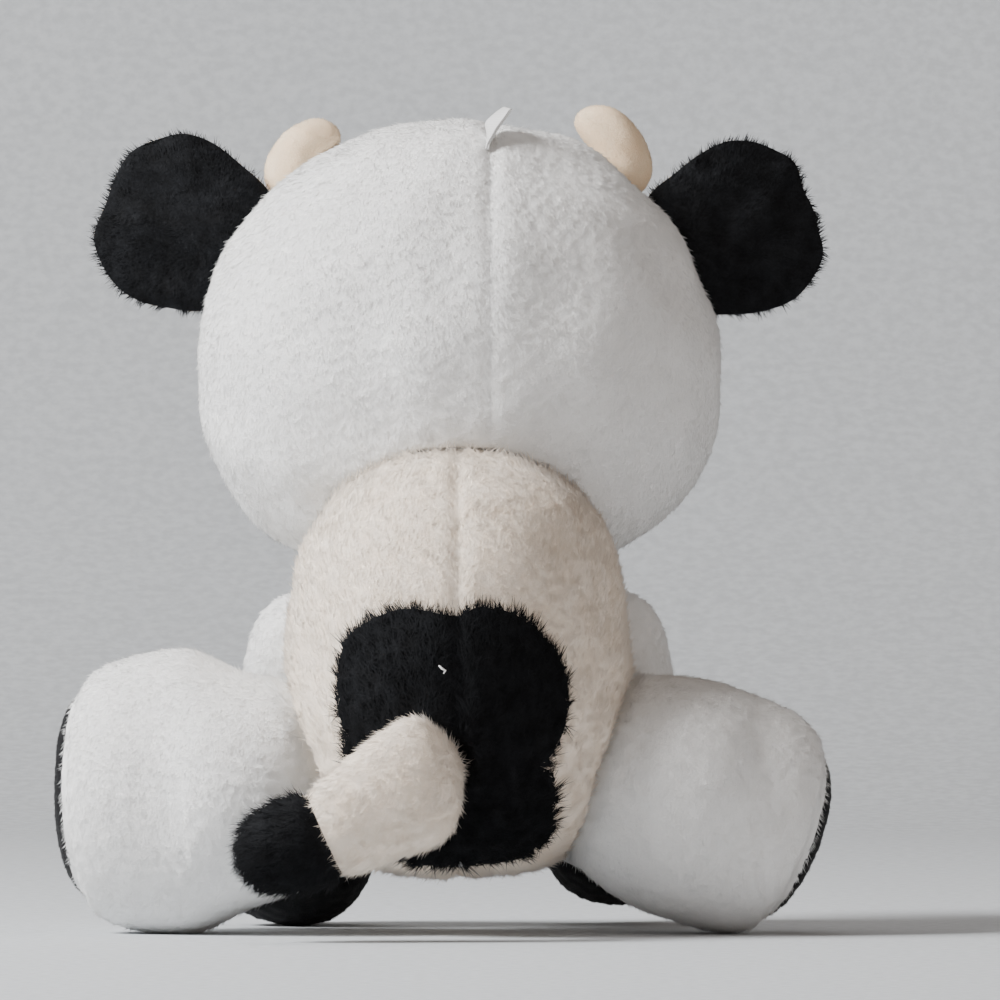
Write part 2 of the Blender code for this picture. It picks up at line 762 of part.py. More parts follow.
def ear_root(side):
    return HEAD_BASE + Vector((side * HEAD_WIDTH / 2 * EAR_ROOT_X_SHARE, HEAD_DEPTH * EAR_Y_SHARE,
                               HEAD_HEIGHT * EAR_ROOT_Z_SHARE))


def ear_hinge(side, rise_deg):
    """Where the lobe leaves the head, in the middle of its seam."""
    along, across = ear_axes(side, rise_deg)
    return ear_root(side) + along * EAR_HINGE_REACH


def make_ear(label, side, rise_deg, pivot):
    along, across = ear_axes(side, rise_deg)
    thick = along.cross(across).normalized()
    root = ear_root(side)
    rings = []
    for share, width_share, thick_share in EAR_RING_SHARES:
        rings.append((root + along * EAR_LENGTH * share, across * EAR_WIDTH / 2 * width_share,
                      thick * EAR_THICKNESS / 2 * thick_share))
    cage = ring_cage("ear_cage_" + label, rings, LIMB_SIDES)
    head_space = add_cutter("head_space_ear_" + label,
                            ring_cage("head_space_ear_" + label,
                                      drawn_in(head_rings(), -EAR_ROOT_GAP), BIG_SIDES))
    subdivide(head_space)
    split_into_facets(head_space)
    front = thick if thick.y > 0 else -thick
    before = space_beyond("before_ear_" + label, root - front * SEAM_GAP / 2, front)
    after = space_beyond("after_ear_" + label, root + front * SEAM_GAP / 2, -front)
    for name, finish, other in (("ear_back_", BLACK_FUR, before), ("ear_lining_", PEACH_VELOUR, after)):
        layer = add_part(name + label, cage, finish, pivot)
        subdivide(layer)
        split_into_facets(layer)
        cut(layer, head_space)
        cut(layer, other)


# Horns

def make_horn(label, side, height, head_space, pivot):
    base = Vector((side * HEAD_WIDTH / 2 * HORN_X_SHARE, HEAD_Y + HEAD_DEPTH * HORN_Y_SHARE,
                   HEAD_TOP - HORN_BELOW_TOP))
    centres = []
    for lean_share, height_share in HORN_PATH_SHARES:
        centres.append(base + Vector((-side * HORN_LEAN * lean_share, 0, height * height_share)))
    rings = []
    for index, centre in enumerate(centres):
        before = centres[max(index - 1, 0)]
        after = centres[min(index + 1, len(centres) - 1)]
        tangent = (after - before).normalized()
        radius = HORN_RADIUS * HORN_TAPER_SHARES[index]
        rings.append((centre, Y_AXIS * radius, tangent.cross(Y_AXIS) * radius))
    skin = skin_panel("horn_skin_" + label, ring_cage("horn_cage_" + label, rings, SMALL_SIDES),
                      PEACH_VELOUR, pivot)
    cut(skin, head_space)
    core_rings = drawn_in(rings, SKIN + SMALL_FILL_GAP)
    core_cage = ring_cage("horn_core_cage_" + label, core_rings, SMALL_SIDES)
    core = filling("horn_stuffing_" + label, core_cage, pivot)
    cut(core, head_space)


# Hanging loop

def make_loop(head_space, pivot):
    """A ribbon folded over, its two ends on the head's sloping top beside the seam."""
    shape = bmesh.new()
    rise = LOOP_HEIGHT - LOOP_GAP
    path = [(-LOOP_GAP / 2, 0.0)]
    for step in range(LOOP_STEPS + 1):
        angle = math.pi * (1.0 - step / LOOP_STEPS)
        path.append((LOOP_GAP / 2 * math.cos(angle), rise + LOOP_GAP / 2 * math.sin(angle)))
    path.append((LOOP_GAP / 2, 0.0))
    rows = []
    for x, z in path:
        rows.append([shape.verts.new((x, y, z)) for y in (-LOOP_WIDTH / 2, LOOP_WIDTH / 2)])
    for lower, upper in zip(rows, rows[1:]):
        shape.faces.new((lower[0], upper[0], upper[1], lower[1]))
    mesh = bpy.data.meshes.new("hanging_loop")
    shape.to_mesh(mesh)
    shape.free()
    loop = add_part("hanging_loop", mesh, SATIN_RIBBON)
    thicken(loop, RIBBON, 0.0)
    turn = Matrix.Rotation(math.radians(90.0 - LOOP_LEAN_DEG), 4, 'Z')
    place = (LOOP_X, HEAD_Y + HEAD_DEPTH * LOOP_Y_SHARE, HEAD_TOP - LOOP_BELOW_TOP)
    loop.matrix_world = Matrix.Translation(place) @ turn
    seat_keep(loop, pivot)
    cut(loop, head_space)


# Limbs

def make_limb(names, finishes, rings, joint, axis, cap_start, sides, cutters, pivot):
    """A sleeve with an opening at the joint, a cap beyond its seam, and the stuffing."""
    cage = ring_cage(names[0] + "_cage", rings, sides)
    half_gap = SEAM_GAP / 2
    beyond = space_beyond(names[0] + "_beyond", cap_start - axis * half_gap, axis)
    before = space_beyond(names[0] + "_before", cap_start + axis * half_gap, -axis)
    mouth = rod_cutter(names[0] + "_mouth", joint, -axis, MOUTH_RADIUS, HIP_RADIUS + SKIN)
    sleeve = skin_panel(names[0], cage, finishes[0], pivot)
    cut(sleeve, mouth)
    cut(sleeve, beyond)
    cap = skin_panel(names[1], cage, finishes[1], pivot)
    cut(cap, before)
    core_cage = ring_cage(names[2] + "_cage", drawn_in(rings, SKIN + SMALL_FILL_GAP), SMALL_SIDES)
    filling(names[2], core_cage, pivot)
    for cutter in cutters:
        cut(sleeve, cutter)
        cut(cap, cutter)


def make_front_leg(half, pivot):
    label = half["label"]
    axis = hung_direction(half["side"], half["out"], half["forward"])
    first = axis.cross(Y_AXIS).normalized()
    second = axis.cross(first).normalized()
    joint = shoulder_point(half["side"])
    sizes = (FRONT_LEG_RADIUS, FRONT_LEG_RADIUS)
    rings = limb_rings(joint, axis, first, second, SHOULDER_RADIUS, FRONT_LEG_LENGTH, sizes,
                       FRONT_RING_SHARES, HOOF_BULGE, HOOF_RING_SHARES)
    names = ("front_leg_skin_" + label, "front_hoof_" + label, "front_leg_stuffing_" + label)
    seam = joint + axis * (FRONT_LEG_LENGTH - HOOF_HEIGHT)
    make_limb(names, (WHITE_FUR, BLACK_VELOUR), rings, joint, axis, seam, LIMB_SIDES, [FLOOR], pivot)


def make_hind_leg(half, pivot):
    label = half["label"]
    axis = splayed_direction(half["side"], half["yaw"], half["drop"])
    second = axis.cross(Z_AXIS).normalized()
    first = second.cross(axis).normalized()
    joint = hip_point(half["side"], half["hip_z"])
    sizes = (half["thigh"] / 2, THIGH_DEPTH / 2)
    rings = limb_rings(joint, axis, first, second, HIP_RADIUS, half["reach"], sizes,
                       THIGH_RING_SHARES, SOLE_BULGE, SOLE_RING_SHARES)
    names = ("hind_leg_skin_" + label, "hind_sole_" + label, "hind_leg_stuffing_" + label)
    seam = joint + axis * half["reach"]
    make_limb(names, (WHITE_FUR, BLACK_VELOUR), rings, joint, axis, seam, LIMB_SIDES, [FLOOR], pivot)


# Tail

def in_back_plane(drop_deg):
    """The way to the left and down at an angle, and the way across it."""
    drop = math.radians(drop_deg)
    along = Vector((-math.cos(drop), 0, -math.sin(drop)))
    return along, along.cross(Y_AXIS).normalized()


def tail_rings():
    """A ball in the back, a turn toward the left, the sleeve and the tuft, on a curving path."""
    along, across = in_back_plane(TAIL_DROP_DEG)
    seam_along, seam_across = in_back_plane(TUFT_SEAM_DROP_DEG)
    tuft_along, tuft_across = in_back_plane(TUFT_DROP_DEG)
    bend_along, bend_across = in_back_plane(BEND_DROP_DEG)
    out = -Y_AXIS
    bend = TAIL_ROOT + out * TAIL_STAND_OFF + along * TAIL_BEND_ASIDE
    seam = bend + along * TAIL_REACH
    half_depth = SLEEVE_DEPTH / 2
    inward = (bend_along - out).normalized()
    shift, size = TAIL_BEND_SHARES
    rings = []
    for share, radius_share in TAIL_ROOT_SHARES:
        radius = TAIL_ROOT_RADIUS * radius_share
        rings.append((TAIL_ROOT + out * TAIL_ROOT_RADIUS * share, bend_across * radius,
                      bend_along * radius * TAIL_ROOT_FLAT_SHARE))
    rings.append((bend + inward * half_depth * shift, bend_across * SLEEVE_WIDTH / 2 * TAIL_BEND_WIDTH_SHARE,
                  inward * half_depth * size))
    for share, size_share in TAIL_SLEEVE_SHARES:
        rings.append((bend + along * TAIL_REACH * share, across * SLEEVE_WIDTH / 2 * size_share,
                      Y_AXIS * half_depth * size_share))
    rings.append((seam, seam_across * TUFT_WIDTH / 2, Y_AXIS * half_depth))
    for share, size_share in TAIL_TUFT_SHARES:
        rings.append((seam + tuft_along * TUFT_REACH * share, tuft_across * TUFT_WIDTH / 2 * size_share,
                      Y_AXIS * half_depth * size_share))
    return rings, seam, seam_along


def make_tail(pivot):
    rings, seam, along = tail_rings()
    cage = ring_cage("tail_cage", rings, SMALL_SIDES, fitted=False)
    half_gap = SEAM_GAP / 2
    beyond = space_beyond("tail_beyond", seam - along * half_gap, along)
    before = space_beyond("tail_before", seam + along * half_gap, -along)
    mouth = rod_cutter("tail_mouth", TAIL_ROOT, Y_AXIS, TAIL_MOUTH_RADIUS, TAIL_ROOT_RADIUS + SKIN)
    sleeve = skin_panel("tail_sleeve", cage, CREAM_FUR, pivot)
    cut(sleeve, mouth)
    cut(sleeve, beyond)
    tuft = skin_panel("tail_tuft", cage, BLACK_FUR, pivot)
    cut(tuft, before)
    core_rings = drawn_in(rings[TAIL_CORE_START:], SKIN + TAIL_FILL_GAP)
    core_cage = ring_cage("tail_core_cage", core_rings, SMALL_SIDES, fitted=False)
    filling("tail_stuffing", core_cage, pivot)


# The toy

def move_to_origin():
    """Bring the middle of the toy's footprint over the origin."""
    shift = Vector((-ORIGIN_X, -ORIGIN_Y, 0))
    for thing in list(PARTS.objects) + list(CUTTERS.objects):
        if thing.parent is None:
            thing.location = thing.location + shift


def make_toy():
    make_body()
    neck_pivot = add_pivot("neck_pivot", DOME_CENTRE)
    make_head(neck_pivot)
    head_space = make_muzzle(neck_pivot)
    make_loop(head_space, neck_pivot)
    for half in SIDES:
        label = half["label"]
        side = half["side"]
        make_horn(label, side, half["horn"], head_space, neck_pivot)
        ear_pivot = add_pivot("ear_pivot_" + label, ear_hinge(side, half["ear_rise"]))
        make_ear(label, side, half["ear_rise"], ear_pivot)
        shoulder_pivot = add_pivot("shoulder_pivot_" + label, shoulder_point(side))
        make_front_leg(half, shoulder_pivot)
        hip_pivot = add_pivot("hip_pivot_" + label, hip_point(side, half["hip_z"]))
        make_hind_leg(half, hip_pivot)
    tail_pivot = add_pivot("tail_pivot", TAIL_ROOT)
    make_tail(tail_pivot)
    move_to_origin()


make_toy()
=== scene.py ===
"""Looks of the seated plush cow: fur skins with real pile, face, stage, light and camera.

Metres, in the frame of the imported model. The toy faces +Y, and the camera looks at its back.
Left and right are those of somebody who looks at the toy's back.
"""
import json
import math
from collections import namedtuple

import bmesh
import bpy
import numpy as np
from mathutils import Matrix, Vector
from mathutils.bvhtree import BVHTree


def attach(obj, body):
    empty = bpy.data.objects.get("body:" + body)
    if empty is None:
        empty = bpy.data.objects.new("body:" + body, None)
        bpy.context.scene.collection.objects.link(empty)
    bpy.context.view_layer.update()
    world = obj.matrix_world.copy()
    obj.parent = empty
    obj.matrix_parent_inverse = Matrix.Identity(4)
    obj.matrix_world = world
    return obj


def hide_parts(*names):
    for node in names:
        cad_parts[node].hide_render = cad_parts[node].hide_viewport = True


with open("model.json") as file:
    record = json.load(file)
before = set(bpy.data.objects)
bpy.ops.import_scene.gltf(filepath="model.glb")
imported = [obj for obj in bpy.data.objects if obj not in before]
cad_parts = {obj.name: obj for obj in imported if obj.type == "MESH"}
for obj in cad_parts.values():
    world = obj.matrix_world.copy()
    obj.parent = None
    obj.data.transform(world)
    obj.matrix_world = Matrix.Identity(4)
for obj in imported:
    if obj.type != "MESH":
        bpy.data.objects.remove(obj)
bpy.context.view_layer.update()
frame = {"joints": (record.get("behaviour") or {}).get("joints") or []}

JOINT_PLACES = {joint["name"]: Vector(joint["pos_m"]) for joint in frame["joints"]}
JOINT_AXES = {joint["name"]: Vector(joint["axis"]).normalized() for joint in frame["joints"]}
SIDES = (("left", -1), ("right", 1))
X_AXIS = Vector((1, 0, 0))
Y_AXIS = Vector((0, 1, 0))
Z_AXIS = Vector((0, 0, 1))

# Unevenness of each form: height and size of the stuffing's lumps, and height of the pile's clumps
BODY_LUMPS = (0.0005, 0.028, 0.0002)
HEAD_LUMPS = (0.0007, 0.034, 0.00015)
LIMB_LUMPS = (0.0003, 0.040, 0.00015)
MUZZLE_LUMPS = (0.0004, 0.020, 0.0)
EAR_LUMPS = (0.0004, 0.018, 0.0)
HORN_LUMPS = (0.0002, 0.010, 0.0)
CLUMP_SIZE = 0.0042

# Fabric: the skin lies inside the toy's outline by the room that its pile takes
SKIN = 0.0016
FUR_ROOM = 0.0010
FUR_RING_ROOM = 0.0006
VELOUR_ROOM = 0.0002
SEAT_GAP = 0.0003
NECK_PRESS = 0.0008
FILL_GAP = 0.0012
FILL_LUMP = 0.0003
FILL_LUMP_SIZE = 0.006
FILL_TUFT = 0.0002
FILL_TUFT_SIZE = 0.0025
FILL_SETTLE = 0.0006
SEAM_GROOVE_WIDTH = 0.0024
SEAM_GROOVE_DEPTH = 0.0016
FLOOR_CLEARANCE = 0.0002
SEAT_SINK = 0.0012
FILL_SEAT_GAP = 0.0006
EAR_ROOM = 0.0004
HUGE = 10.0
TINY = 1e-9

# Body
DOME = JOINT_PLACES["neck"]
BODY_RADIUS = 0.051
BODY_CLEAR_OF_FLOOR = 0.0162
BELLY_SEAM_AHEAD = 0.0165
BODY_LOW_SHARES = [(0.0, 0.36), (0.12, 0.70), (0.34, 0.94), (0.66, 1.03)]
BODY_DOME_ANGLES = [0.0, 28.0, 55.0, 79.0]
BODY_MIDDLE = Vector((DOME.x, DOME.y, 0.080))
BACK_SEAM_DEPTH = 0.0013
BACK_SEAM_FADE = 0.0120

# Rump patch, at the height of the tail's root
PATCH_WIDTH = 0.070
PATCH_HEIGHT = 0.078
PATCH_OUTLINE_SHARES = [
    (-0.52, 0.29), (-0.47, 0.48), (-0.25, 0.59), (-0.01, 0.565), (0.10, 0.60), (0.27, 0.56),
    (0.44, 0.40), (0.47, 0.25), (0.45, 0.10), (0.385, 0.00), (0.42, -0.09), (0.41, -0.24),
    (0.30, -0.36), (0.02, -0.40), (-0.25, -0.375), (-0.43, -0.19), (-0.48, 0.02)]
OUTLINE_STEPS = 8
LOOSE_THREAD_PATH = [(-0.0056, 0.0818), (-0.0046, 0.0808), (-0.0036, 0.0803), (-0.0042, 0.0793)]
LOOSE_THREAD_LIFT = 0.0027
LOOSE_THREAD_RADIUS = 0.00035
OUTLINE_SNAP = 0.0010
CENTRE_SNAP = 0.0001
SPLIT_SNAP = 0.00003

# Head
HEAD_WIDTH = 0.160
HEAD_HEIGHT = 0.1392
HEAD_DEPTH = 0.120
HEAD_BASE = Vector((DOME.x, DOME.y + 0.40 * HEAD_DEPTH, 0.1050))
HEAD_MIDDLE = HEAD_BASE + Z_AXIS * HEAD_HEIGHT / 2
FACE_SEAM_Y = HEAD_BASE.y + 0.05 * HEAD_DEPTH
HEAD_SEAM_X = DOME.x + 0.0098
HEAD_SEAM_FADE = 1.5
HEAD_WHORL_SHARE = 1.3
HEAD_RING_SHARES = [
    (0.0, 0.38), (0.10, 0.71), (0.25, 0.93), (0.42, 1.0),
    (0.60, 0.96), (0.77, 0.82), (0.91, 0.57), (1.0, 0.28)]

# Muzzle
MUZZLE_WIDTH = 0.072
MUZZLE_HEIGHT = 0.050
MUZZLE_DEPTH = 0.052
MUZZLE_MIDDLE = HEAD_BASE + Vector((0, 0.45 * HEAD_DEPTH, 0.245 * HEAD_HEIGHT))
MUZZLE_WHORL_AHEAD = 0.1
MUZZLE_RING_SHARES = [(0.0, 0.60), (0.36, 0.96), (0.64, 0.97), (0.88, 0.72), (1.0, 0.40)]

# Ears
EAR_LENGTH = 0.0540
EAR_WIDTH = 0.0530
EAR_THICKNESS = 0.0074
EAR_WHORL_SHARE = 0.25
EAR_HINGE_REACH = 0.0105
EAR_SWEEP_DEG = 6.0
EAR_SPLIT_GAP = 0.00015
EAR_FACE_LIFT = 0.0004
EAR_RING_SHARES = [
    (0.0, 0.58, 0.80), (0.20, 0.78, 1.0), (0.46, 0.97, 1.0), (0.70, 0.98, 0.96),
    (0.90, 0.74, 0.72), (1.0, 0.44, 0.46)]

# Horns
HORN_RADIUS = 0.0085
HORN_SKIN = 0.0010
HORN_X = 0.0475
HORN_AHEAD = 0.014
HORN_LEAN = 0.0125
HORN_BELOW_TOP = 0.024
HORN_HEIGHTS = {"left": 0.0200, "right": 0.0250}
HORN_PATH_SHARES = [(0.0, 0.0), (-0.20, 0.40), (0.22, 0.80), (1.0, 1.0)]
HORN_TAPER_SHARES = [0.92, 1.0, 0.88, 0.42]

# Hanging loop of ribbon: rows of its way aside, its rise and half its width as seen from behind
RIBBON = 0.0005
RIBBON_HALF_WIDTH = 0.00375
LOOP_X = 0.0129
LOOP_Z = 0.2367
LOOP_SPREAD = 0.0010
LOOP_ASIDE = 0.0006
LOOP_ROOT = 0.0020
LOOP_ROWS = [
    (-0.0003, -0.0020, 0.0003, 0.0), (0.0, 0.0, 0.0002, 0.0), (0.00105, 0.00225, 0.0006, -0.00015),
    (0.00135, 0.00435, 0.0014, -0.00015), (0.00195, 0.00615, 0.0024, 0.00015),
    (0.0033, 0.00765, 0.00225, 0.00015), (0.0048, 0.0093, 0.00165, 0.0), (0.0061, 0.0104, 0.0009, -0.0003)]
RIBBON_STRIPS = 6
RIBBON_LEVELS = 2

# Limbs
SHOULDER_RADIUS = 0.0225
FRONT_LEG_LENGTH = 0.0756
FRONT_LEG_RADIUS = 0.0260
FRONT_LEG_DEGREES = {"left": (8.0, 24.0), "right": (7.0, 36.0)}
HOOF_BULGE = 0.0110
HOOF_HEIGHT = 0.0115
FRONT_RING_SHARES = [(0.38, 0.90), (0.74, 1.0), (0.94, 0.95)]
HOOF_RING_SHARES = [(0.55, 0.72), (1.0, 0.36)]
HIP_RADIUS = 0.0365
THIGH_HEIGHTS = {"left": 0.0862, "right": 0.0735}
THIGH_DEPTH = 0.0660
THIGH_WHORL_INWARD = 0.05
THIGH_WHORL_RISE = 0.05
THIGH_PILE_FALL = 0.3
HIND_LEG_LENGTHS = {"left": 0.0500, "right": 0.0395}
SOLE_BULGE = 0.0065
THIGH_RING_SHARES = [(0.30, 1.0), (0.62, 0.99), (0.88, 0.90)]
SOLE_RING_SHARES = [(0.45, 0.68), (1.0, 0.36)]
LIMB_DOME_DEGREES = [-72.0, -37.0, 0.0]

# Tail
TAIL_ROOT = JOINT_PLACES["tail_root"]
TAIL_ROOT_RADIUS = 0.0080
TAIL_ROOT_FLAT_SHARE = 0.75
TAIL_STAND_OFF = 0.0241
TAIL_BEND_ASIDE = 0.0025
TAIL_REACH = 0.0395
TUFT_REACH = 0.0275
BEND_DROP_DEG = 16.0
TAIL_DROP_DEG = 31.0
TUFT_SEAM_DROP_DEG = 24.0
TUFT_DROP_DEG = 14.0
SLEEVE_WIDTH = 0.0400
SLEEVE_DEPTH = 0.0210
TUFT_WIDTH = 0.0300
TAIL_ROOT_SHARES = [(-0.92, 0.42), (-0.50, 0.80), (0.45, 0.78)]
TAIL_BEND_SHARES = (0.10, 1.0)
TAIL_BEND_WIDTH_SHARE = 1.14
TAIL_SLEEVE_SHARES = [(0.48, 0.90)]
TAIL_TUFT_SHARES = [(0.62, 0.98), (1.0, 0.48)]

# Eyes and the embroidery on the muzzle
EYE_RADIUS = 0.0065
EYE_DOME = 0.0045
SHANK_RADIUS = 0.002
SHANK_LENGTH = 0.011
EYE_BACK_SHARE = 0.94
EYE_RIM = 0.0006
EYE_X_SHARE = 0.40
EYE_Z_SHARE = 0.42
EYE_STEPS = 14
EYE_SIDES = 48
EYE_SNAP = 1e-6
EYE_DENT = 0.0016
EYE_DENT_REACH = 0.0110
THREAD_RADIUS = 0.00028
THREAD_END_SHARE = 0.6
THREAD_ANGLES = [math.pi / 3 * step for step in range(6)]
STITCH_STEPS = 6
STITCH_PAD = 0.0012
NOSTRIL_X = 0.0105
NOSTRIL_Z = 0.0065
NOSTRIL_WIDTH = 0.0052
NOSTRIL_HEIGHT = 0.0070
NOSTRIL_SLANT = 0.0008
NOSTRIL_STITCHES = 12
MOUTH_WIDTH = 0.0260
MOUTH_RISE = 0.0045
MOUTH_Z = -0.0120
MOUTH_THICKNESS = 0.0021
MOUTH_SLANT = 0.35
MOUTH_STITCHES = 60
MOUTH_TAPER_POWER = 6
STITCH_SINK_SHARE = 0.6

# Pile: most hairs lie flat, and a share of guard hairs stand up. Sizes in metres, hairs to a square
# metre, angles in degrees, and drift and scatter as shares of the direction in which the pile lies
Pile = namedtuple("Pile", "length width density lean spread sway clump drift scatter guard guard_lean")
WHITE_PILE = Pile(0.0024, 0.00032, 2.4e6, 76.0, 4.0, 3.0, 0.007, 0.30, 0.12, 0.06, 52.0)
BODY_PILE = Pile(0.0032, 0.00034, 2.3e6, 71.0, 5.0, 5.0, 0.006, 0.40, 0.16, 0.10, 50.0)
BLACK_PILE = Pile(0.0050, 0.00036, 3.0e6, 62.0, 8.0, 8.0, 0.005, 0.50, 0.22, 0.15, 44.0)
EAR_PILE = Pile(0.0031, 0.00036, 3.0e6, 70.0, 6.0, 6.0, 0.005, 0.40, 0.18, 0.08, 56.0)
VELOUR_PILE = Pile(0.0009, 0.00022, 5.0e6, 58.0, 6.0, 4.0, 0.004, 0.30, 0.15, 0.08, 30.0)
HAIR_LENGTH_SHARES = (0.65, 1.25)
HAIR_WIDTH_SHARES = (0.7, 1.2)
HAIR_FOOT_SHARE = 1.6
HAIR_SIDES = 3
HAIR_FACES = [(0, 1, 3), (1, 2, 3), (2, 0, 3)]
SWAY_SIZE_SHARE = 1.3
SWAY_SEED_STEP = 5
HIDDEN_PILE_SHARE = 0.25
PILE_RISE = 0.35
PILE_COVER_DEPTH = 0.0030
PILE_EDGE = 0.0004
PILE_RUFFLE = 0.50
PILE_RUFFLE_REACH = 0.0050
PILE_RUFFLE_LEAN = 55.0

# Seeds of the random draws: each piece of a pair has its side added
SEEDS = {name: 11 + 10 * index for index, name in enumerate(
    ("body", "back_fur", "patch_fur", "belly_fur", "body_stuffing", "head", "head_fur", "face_fur",
     "head_stuffing", "muzzle", "muzzle_fur", "muzzle_stuffing", "ear", "ear_fur", "horn"))}
LIMB_SEEDS = {"front_leg_": 201, "hind_leg_": 241, "tail": 281}
SEED_STEP = 10

# Counts
BIG_SIDES = 12
LIMB_SIDES = 8
SMALL_SIDES = 6
FORM_LEVELS = 4
RING_TURN_SHARE = 0.25
LIMB_SMOOTHING = 24
SMOOTHING_FACTOR = 0.5
FIT_ROUNDS = 12
WAVES = 14
WAVE_SIZE_SHARES = (0.6, 1.5)
SKIN_NORMAL = "skin_normal"


# Smooth forms through rings

def pull_of(sides):
    return (2.0 + math.cos(2.0 * math.pi / sides)) / 3.0


def through(points):
    """Cage values whose smoothed surface passes through the given ones, the ends kept."""
    cage = [point.copy() for point in points]
    for _ in range(FIT_ROUNDS):
        for index in range(1, len(points) - 1):
            cage[index] = (6.0 * points[index] - cage[index - 1] - cage[index + 1]) / 4.0
    return cage


def smooth_form(rings, sides, fitted=True):
    """The closed smooth surface through the rings, as a fine mesh."""
    columns = [[ring[index] for ring in rings] for index in range(3)]
    if fitted:
        columns = [through(column) for column in columns]
    shape = bmesh.new()
    rows = []
    for centre, first, second in zip(*columns):
        row = []
        for side in range(sides):
            angle = 2.0 * math.pi * (side + RING_TURN_SHARE) / sides
            offset = (first * math.cos(angle) + second * math.sin(angle)) / pull_of(sides)
            row.append(shape.verts.new(centre + offset))
        rows.append(row)
    close_rows(shape, rows)
    return with_modifier(closed_mesh_from(shape, "cage"), 'SUBSURF', levels=FORM_LEVELS)


def close_rows(shape, rows):
    """Faces round from each row of points to the next, and over the first and the last row."""
    for lower, upper in zip(rows, rows[1:]):
        for index in range(len(lower)):
            after = (index + 1) % len(lower)
            shape.faces.new((lower[index], lower[after], upper[after], upper[index]))
    shape.faces.new(list(reversed(rows[0])))
    shape.faces.new(rows[-1])


def mesh_from(shape, name):
    mesh = bpy.data.meshes.new(name)
    shape.to_mesh(mesh)
    shape.free()
    return mesh


def closed_mesh_from(shape, name):
    bmesh.ops.recalc_face_normals(shape, faces=shape.faces)
    return mesh_from(shape, name)


def add_object(name, data):
    holder = bpy.data.objects.new(name, data)
    bpy.context.scene.collection.objects.link(holder)
    return holder


def with_modifier(mesh, kind, **settings):
    """The mesh after one modifier, which is applied and gone."""
    holder = add_object("holder", mesh)
    modifier = holder.modifiers.new("step", kind)
    for name, value in settings.items():
        setattr(modifier, name, value)
    depsgraph = bpy.context.evaluated_depsgraph_get()
    result = bpy.data.meshes.new_from_object(holder.evaluated_get(depsgraph))
    bpy.data.objects.remove(holder, do_unlink=True)
    return result


def triples_of(items, field, kind=np.float32, wide=np.float64):
    values = np.empty(len(items) * 3, dtype=kind)
    items.foreach_get(field, values)
    return values.reshape(-1, 3).astype(wide)


def places_of(mesh):
    return triples_of(mesh.vertices, "co")


def normals_of(mesh):
    return triples_of(mesh.vertex_normals, "vector")


def face_middles(mesh):
    return triples_of(mesh.polygons, "center")


def keep_skin_normals(mesh):
    """Notes the whole form's normals, so that a panel cut from it is shaded without a break at its seams."""
    note = mesh.attributes.new(SKIN_NORMAL, 'FLOAT_VECTOR', 'POINT')
    note.data.foreach_set("vector", normals_of(mesh).astype(np.float32).ravel())


def skin_normals_of(mesh):
    note = mesh.attributes.get(SKIN_NORMAL)
    return normals_of(mesh) if note is None else triples_of(note.data, "vector")


def unit(rows):
    return rows / np.maximum(np.linalg.norm(rows, axis=1), TINY)[:, None]


def set_places(mesh, places):
    mesh.vertices.foreach_set("co", np.ascontiguousarray(places, dtype=np.float32).ravel())
    mesh.update()


def bvh_of(mesh):
    points = [vertex.co.copy() for vertex in mesh.vertices]
    return BVHTree.FromPolygons(points, [tuple(face.vertices) for face in mesh.polygons])


# Unevenness, from sums of waves

def waves(places, size, seed):
    """A smooth random value from about -1 to 1 for each point, whose bumps have the given size."""
    random = np.random.default_rng(seed)
    total = np.zeros(len(places))
    for _ in range(WAVES):
        direction = random.normal(size=3)
        direction *= random.uniform(*WAVE_SIZE_SHARES) / np.linalg.norm(direction)
        total += np.sin(places @ direction * (2.0 * math.pi / size) + random.uniform(0.0, 2.0 * math.pi))
    return total / math.sqrt(WAVES)


def groove(distance, depth=SEAM_GROOVE_DEPTH, width=SEAM_GROOVE_WIDTH):
    return -depth * np.exp(-(distance / width) ** 2)


# Dents

def press_in(places, middle, ball, radius):
    """Moves the points inside a ball toward the form's middle until they leave the ball."""
    middle, ball = np.array(middle), np.array(ball)
    apart = places - ball
    inside = (apart ** 2).sum(1) < radius ** 2
    ray = middle - places[inside]
    start = apart[inside]
    square = (ray ** 2).sum(1)
    half = (ray * start).sum(1)
    rest = (start ** 2).sum(1) - radius ** 2
    share = (-half + np.sqrt(half ** 2 - square * rest)) / square
    places[inside] += ray * share[:, None]


def seat_on(places, tree, axis, sink):
    """Moves the points inside a form out along an axis, to just under that form's surface."""
    axis = Vector(axis).normalized()
    for index, place in enumerate(places):
        spot = Vector(place)
        near, normal, _, _ = tree.find_nearest(spot)
        if (spot - near).dot(normal) > -sink:
            continue
        hit, _, _, _ = tree.ray_cast(spot, axis)
        if hit is not None:
            places[index] = hit - axis * sink


def flatten_floor(places):
    places[:, 2] = np.maximum(places[:, 2], FLOOR_CLEARANCE)


# Rings of the body, the head and the limbs

def body_rings():
    low = DOME.z - BODY_CLEAR_OF_FLOOR
    rings = []
    for height_share, radius_share in BODY_LOW_SHARES:
        centre = Vector((DOME.x, DOME.y, BODY_CLEAR_OF_FLOOR + low * height_share))
        radius = BODY_RADIUS * radius_share
        rings.append((centre, X_AXIS * radius, Y_AXIS * radius))
    for degrees in BODY_DOME_ANGLES:
        turn = math.radians(degrees)
        centre = DOME + Z_AXIS * BODY_RADIUS * math.sin(turn)
        radius = BODY_RADIUS * math.cos(turn)
        rings.append((centre, X_AXIS * radius, Y_AXIS * radius))
    return rings


def head_rings():
    return [(HEAD_BASE + Z_AXIS * HEAD_HEIGHT * height, X_AXIS * HEAD_WIDTH / 2 * width,
             Y_AXIS * HEAD_DEPTH / 2 * width) for height, width in HEAD_RING_SHARES]


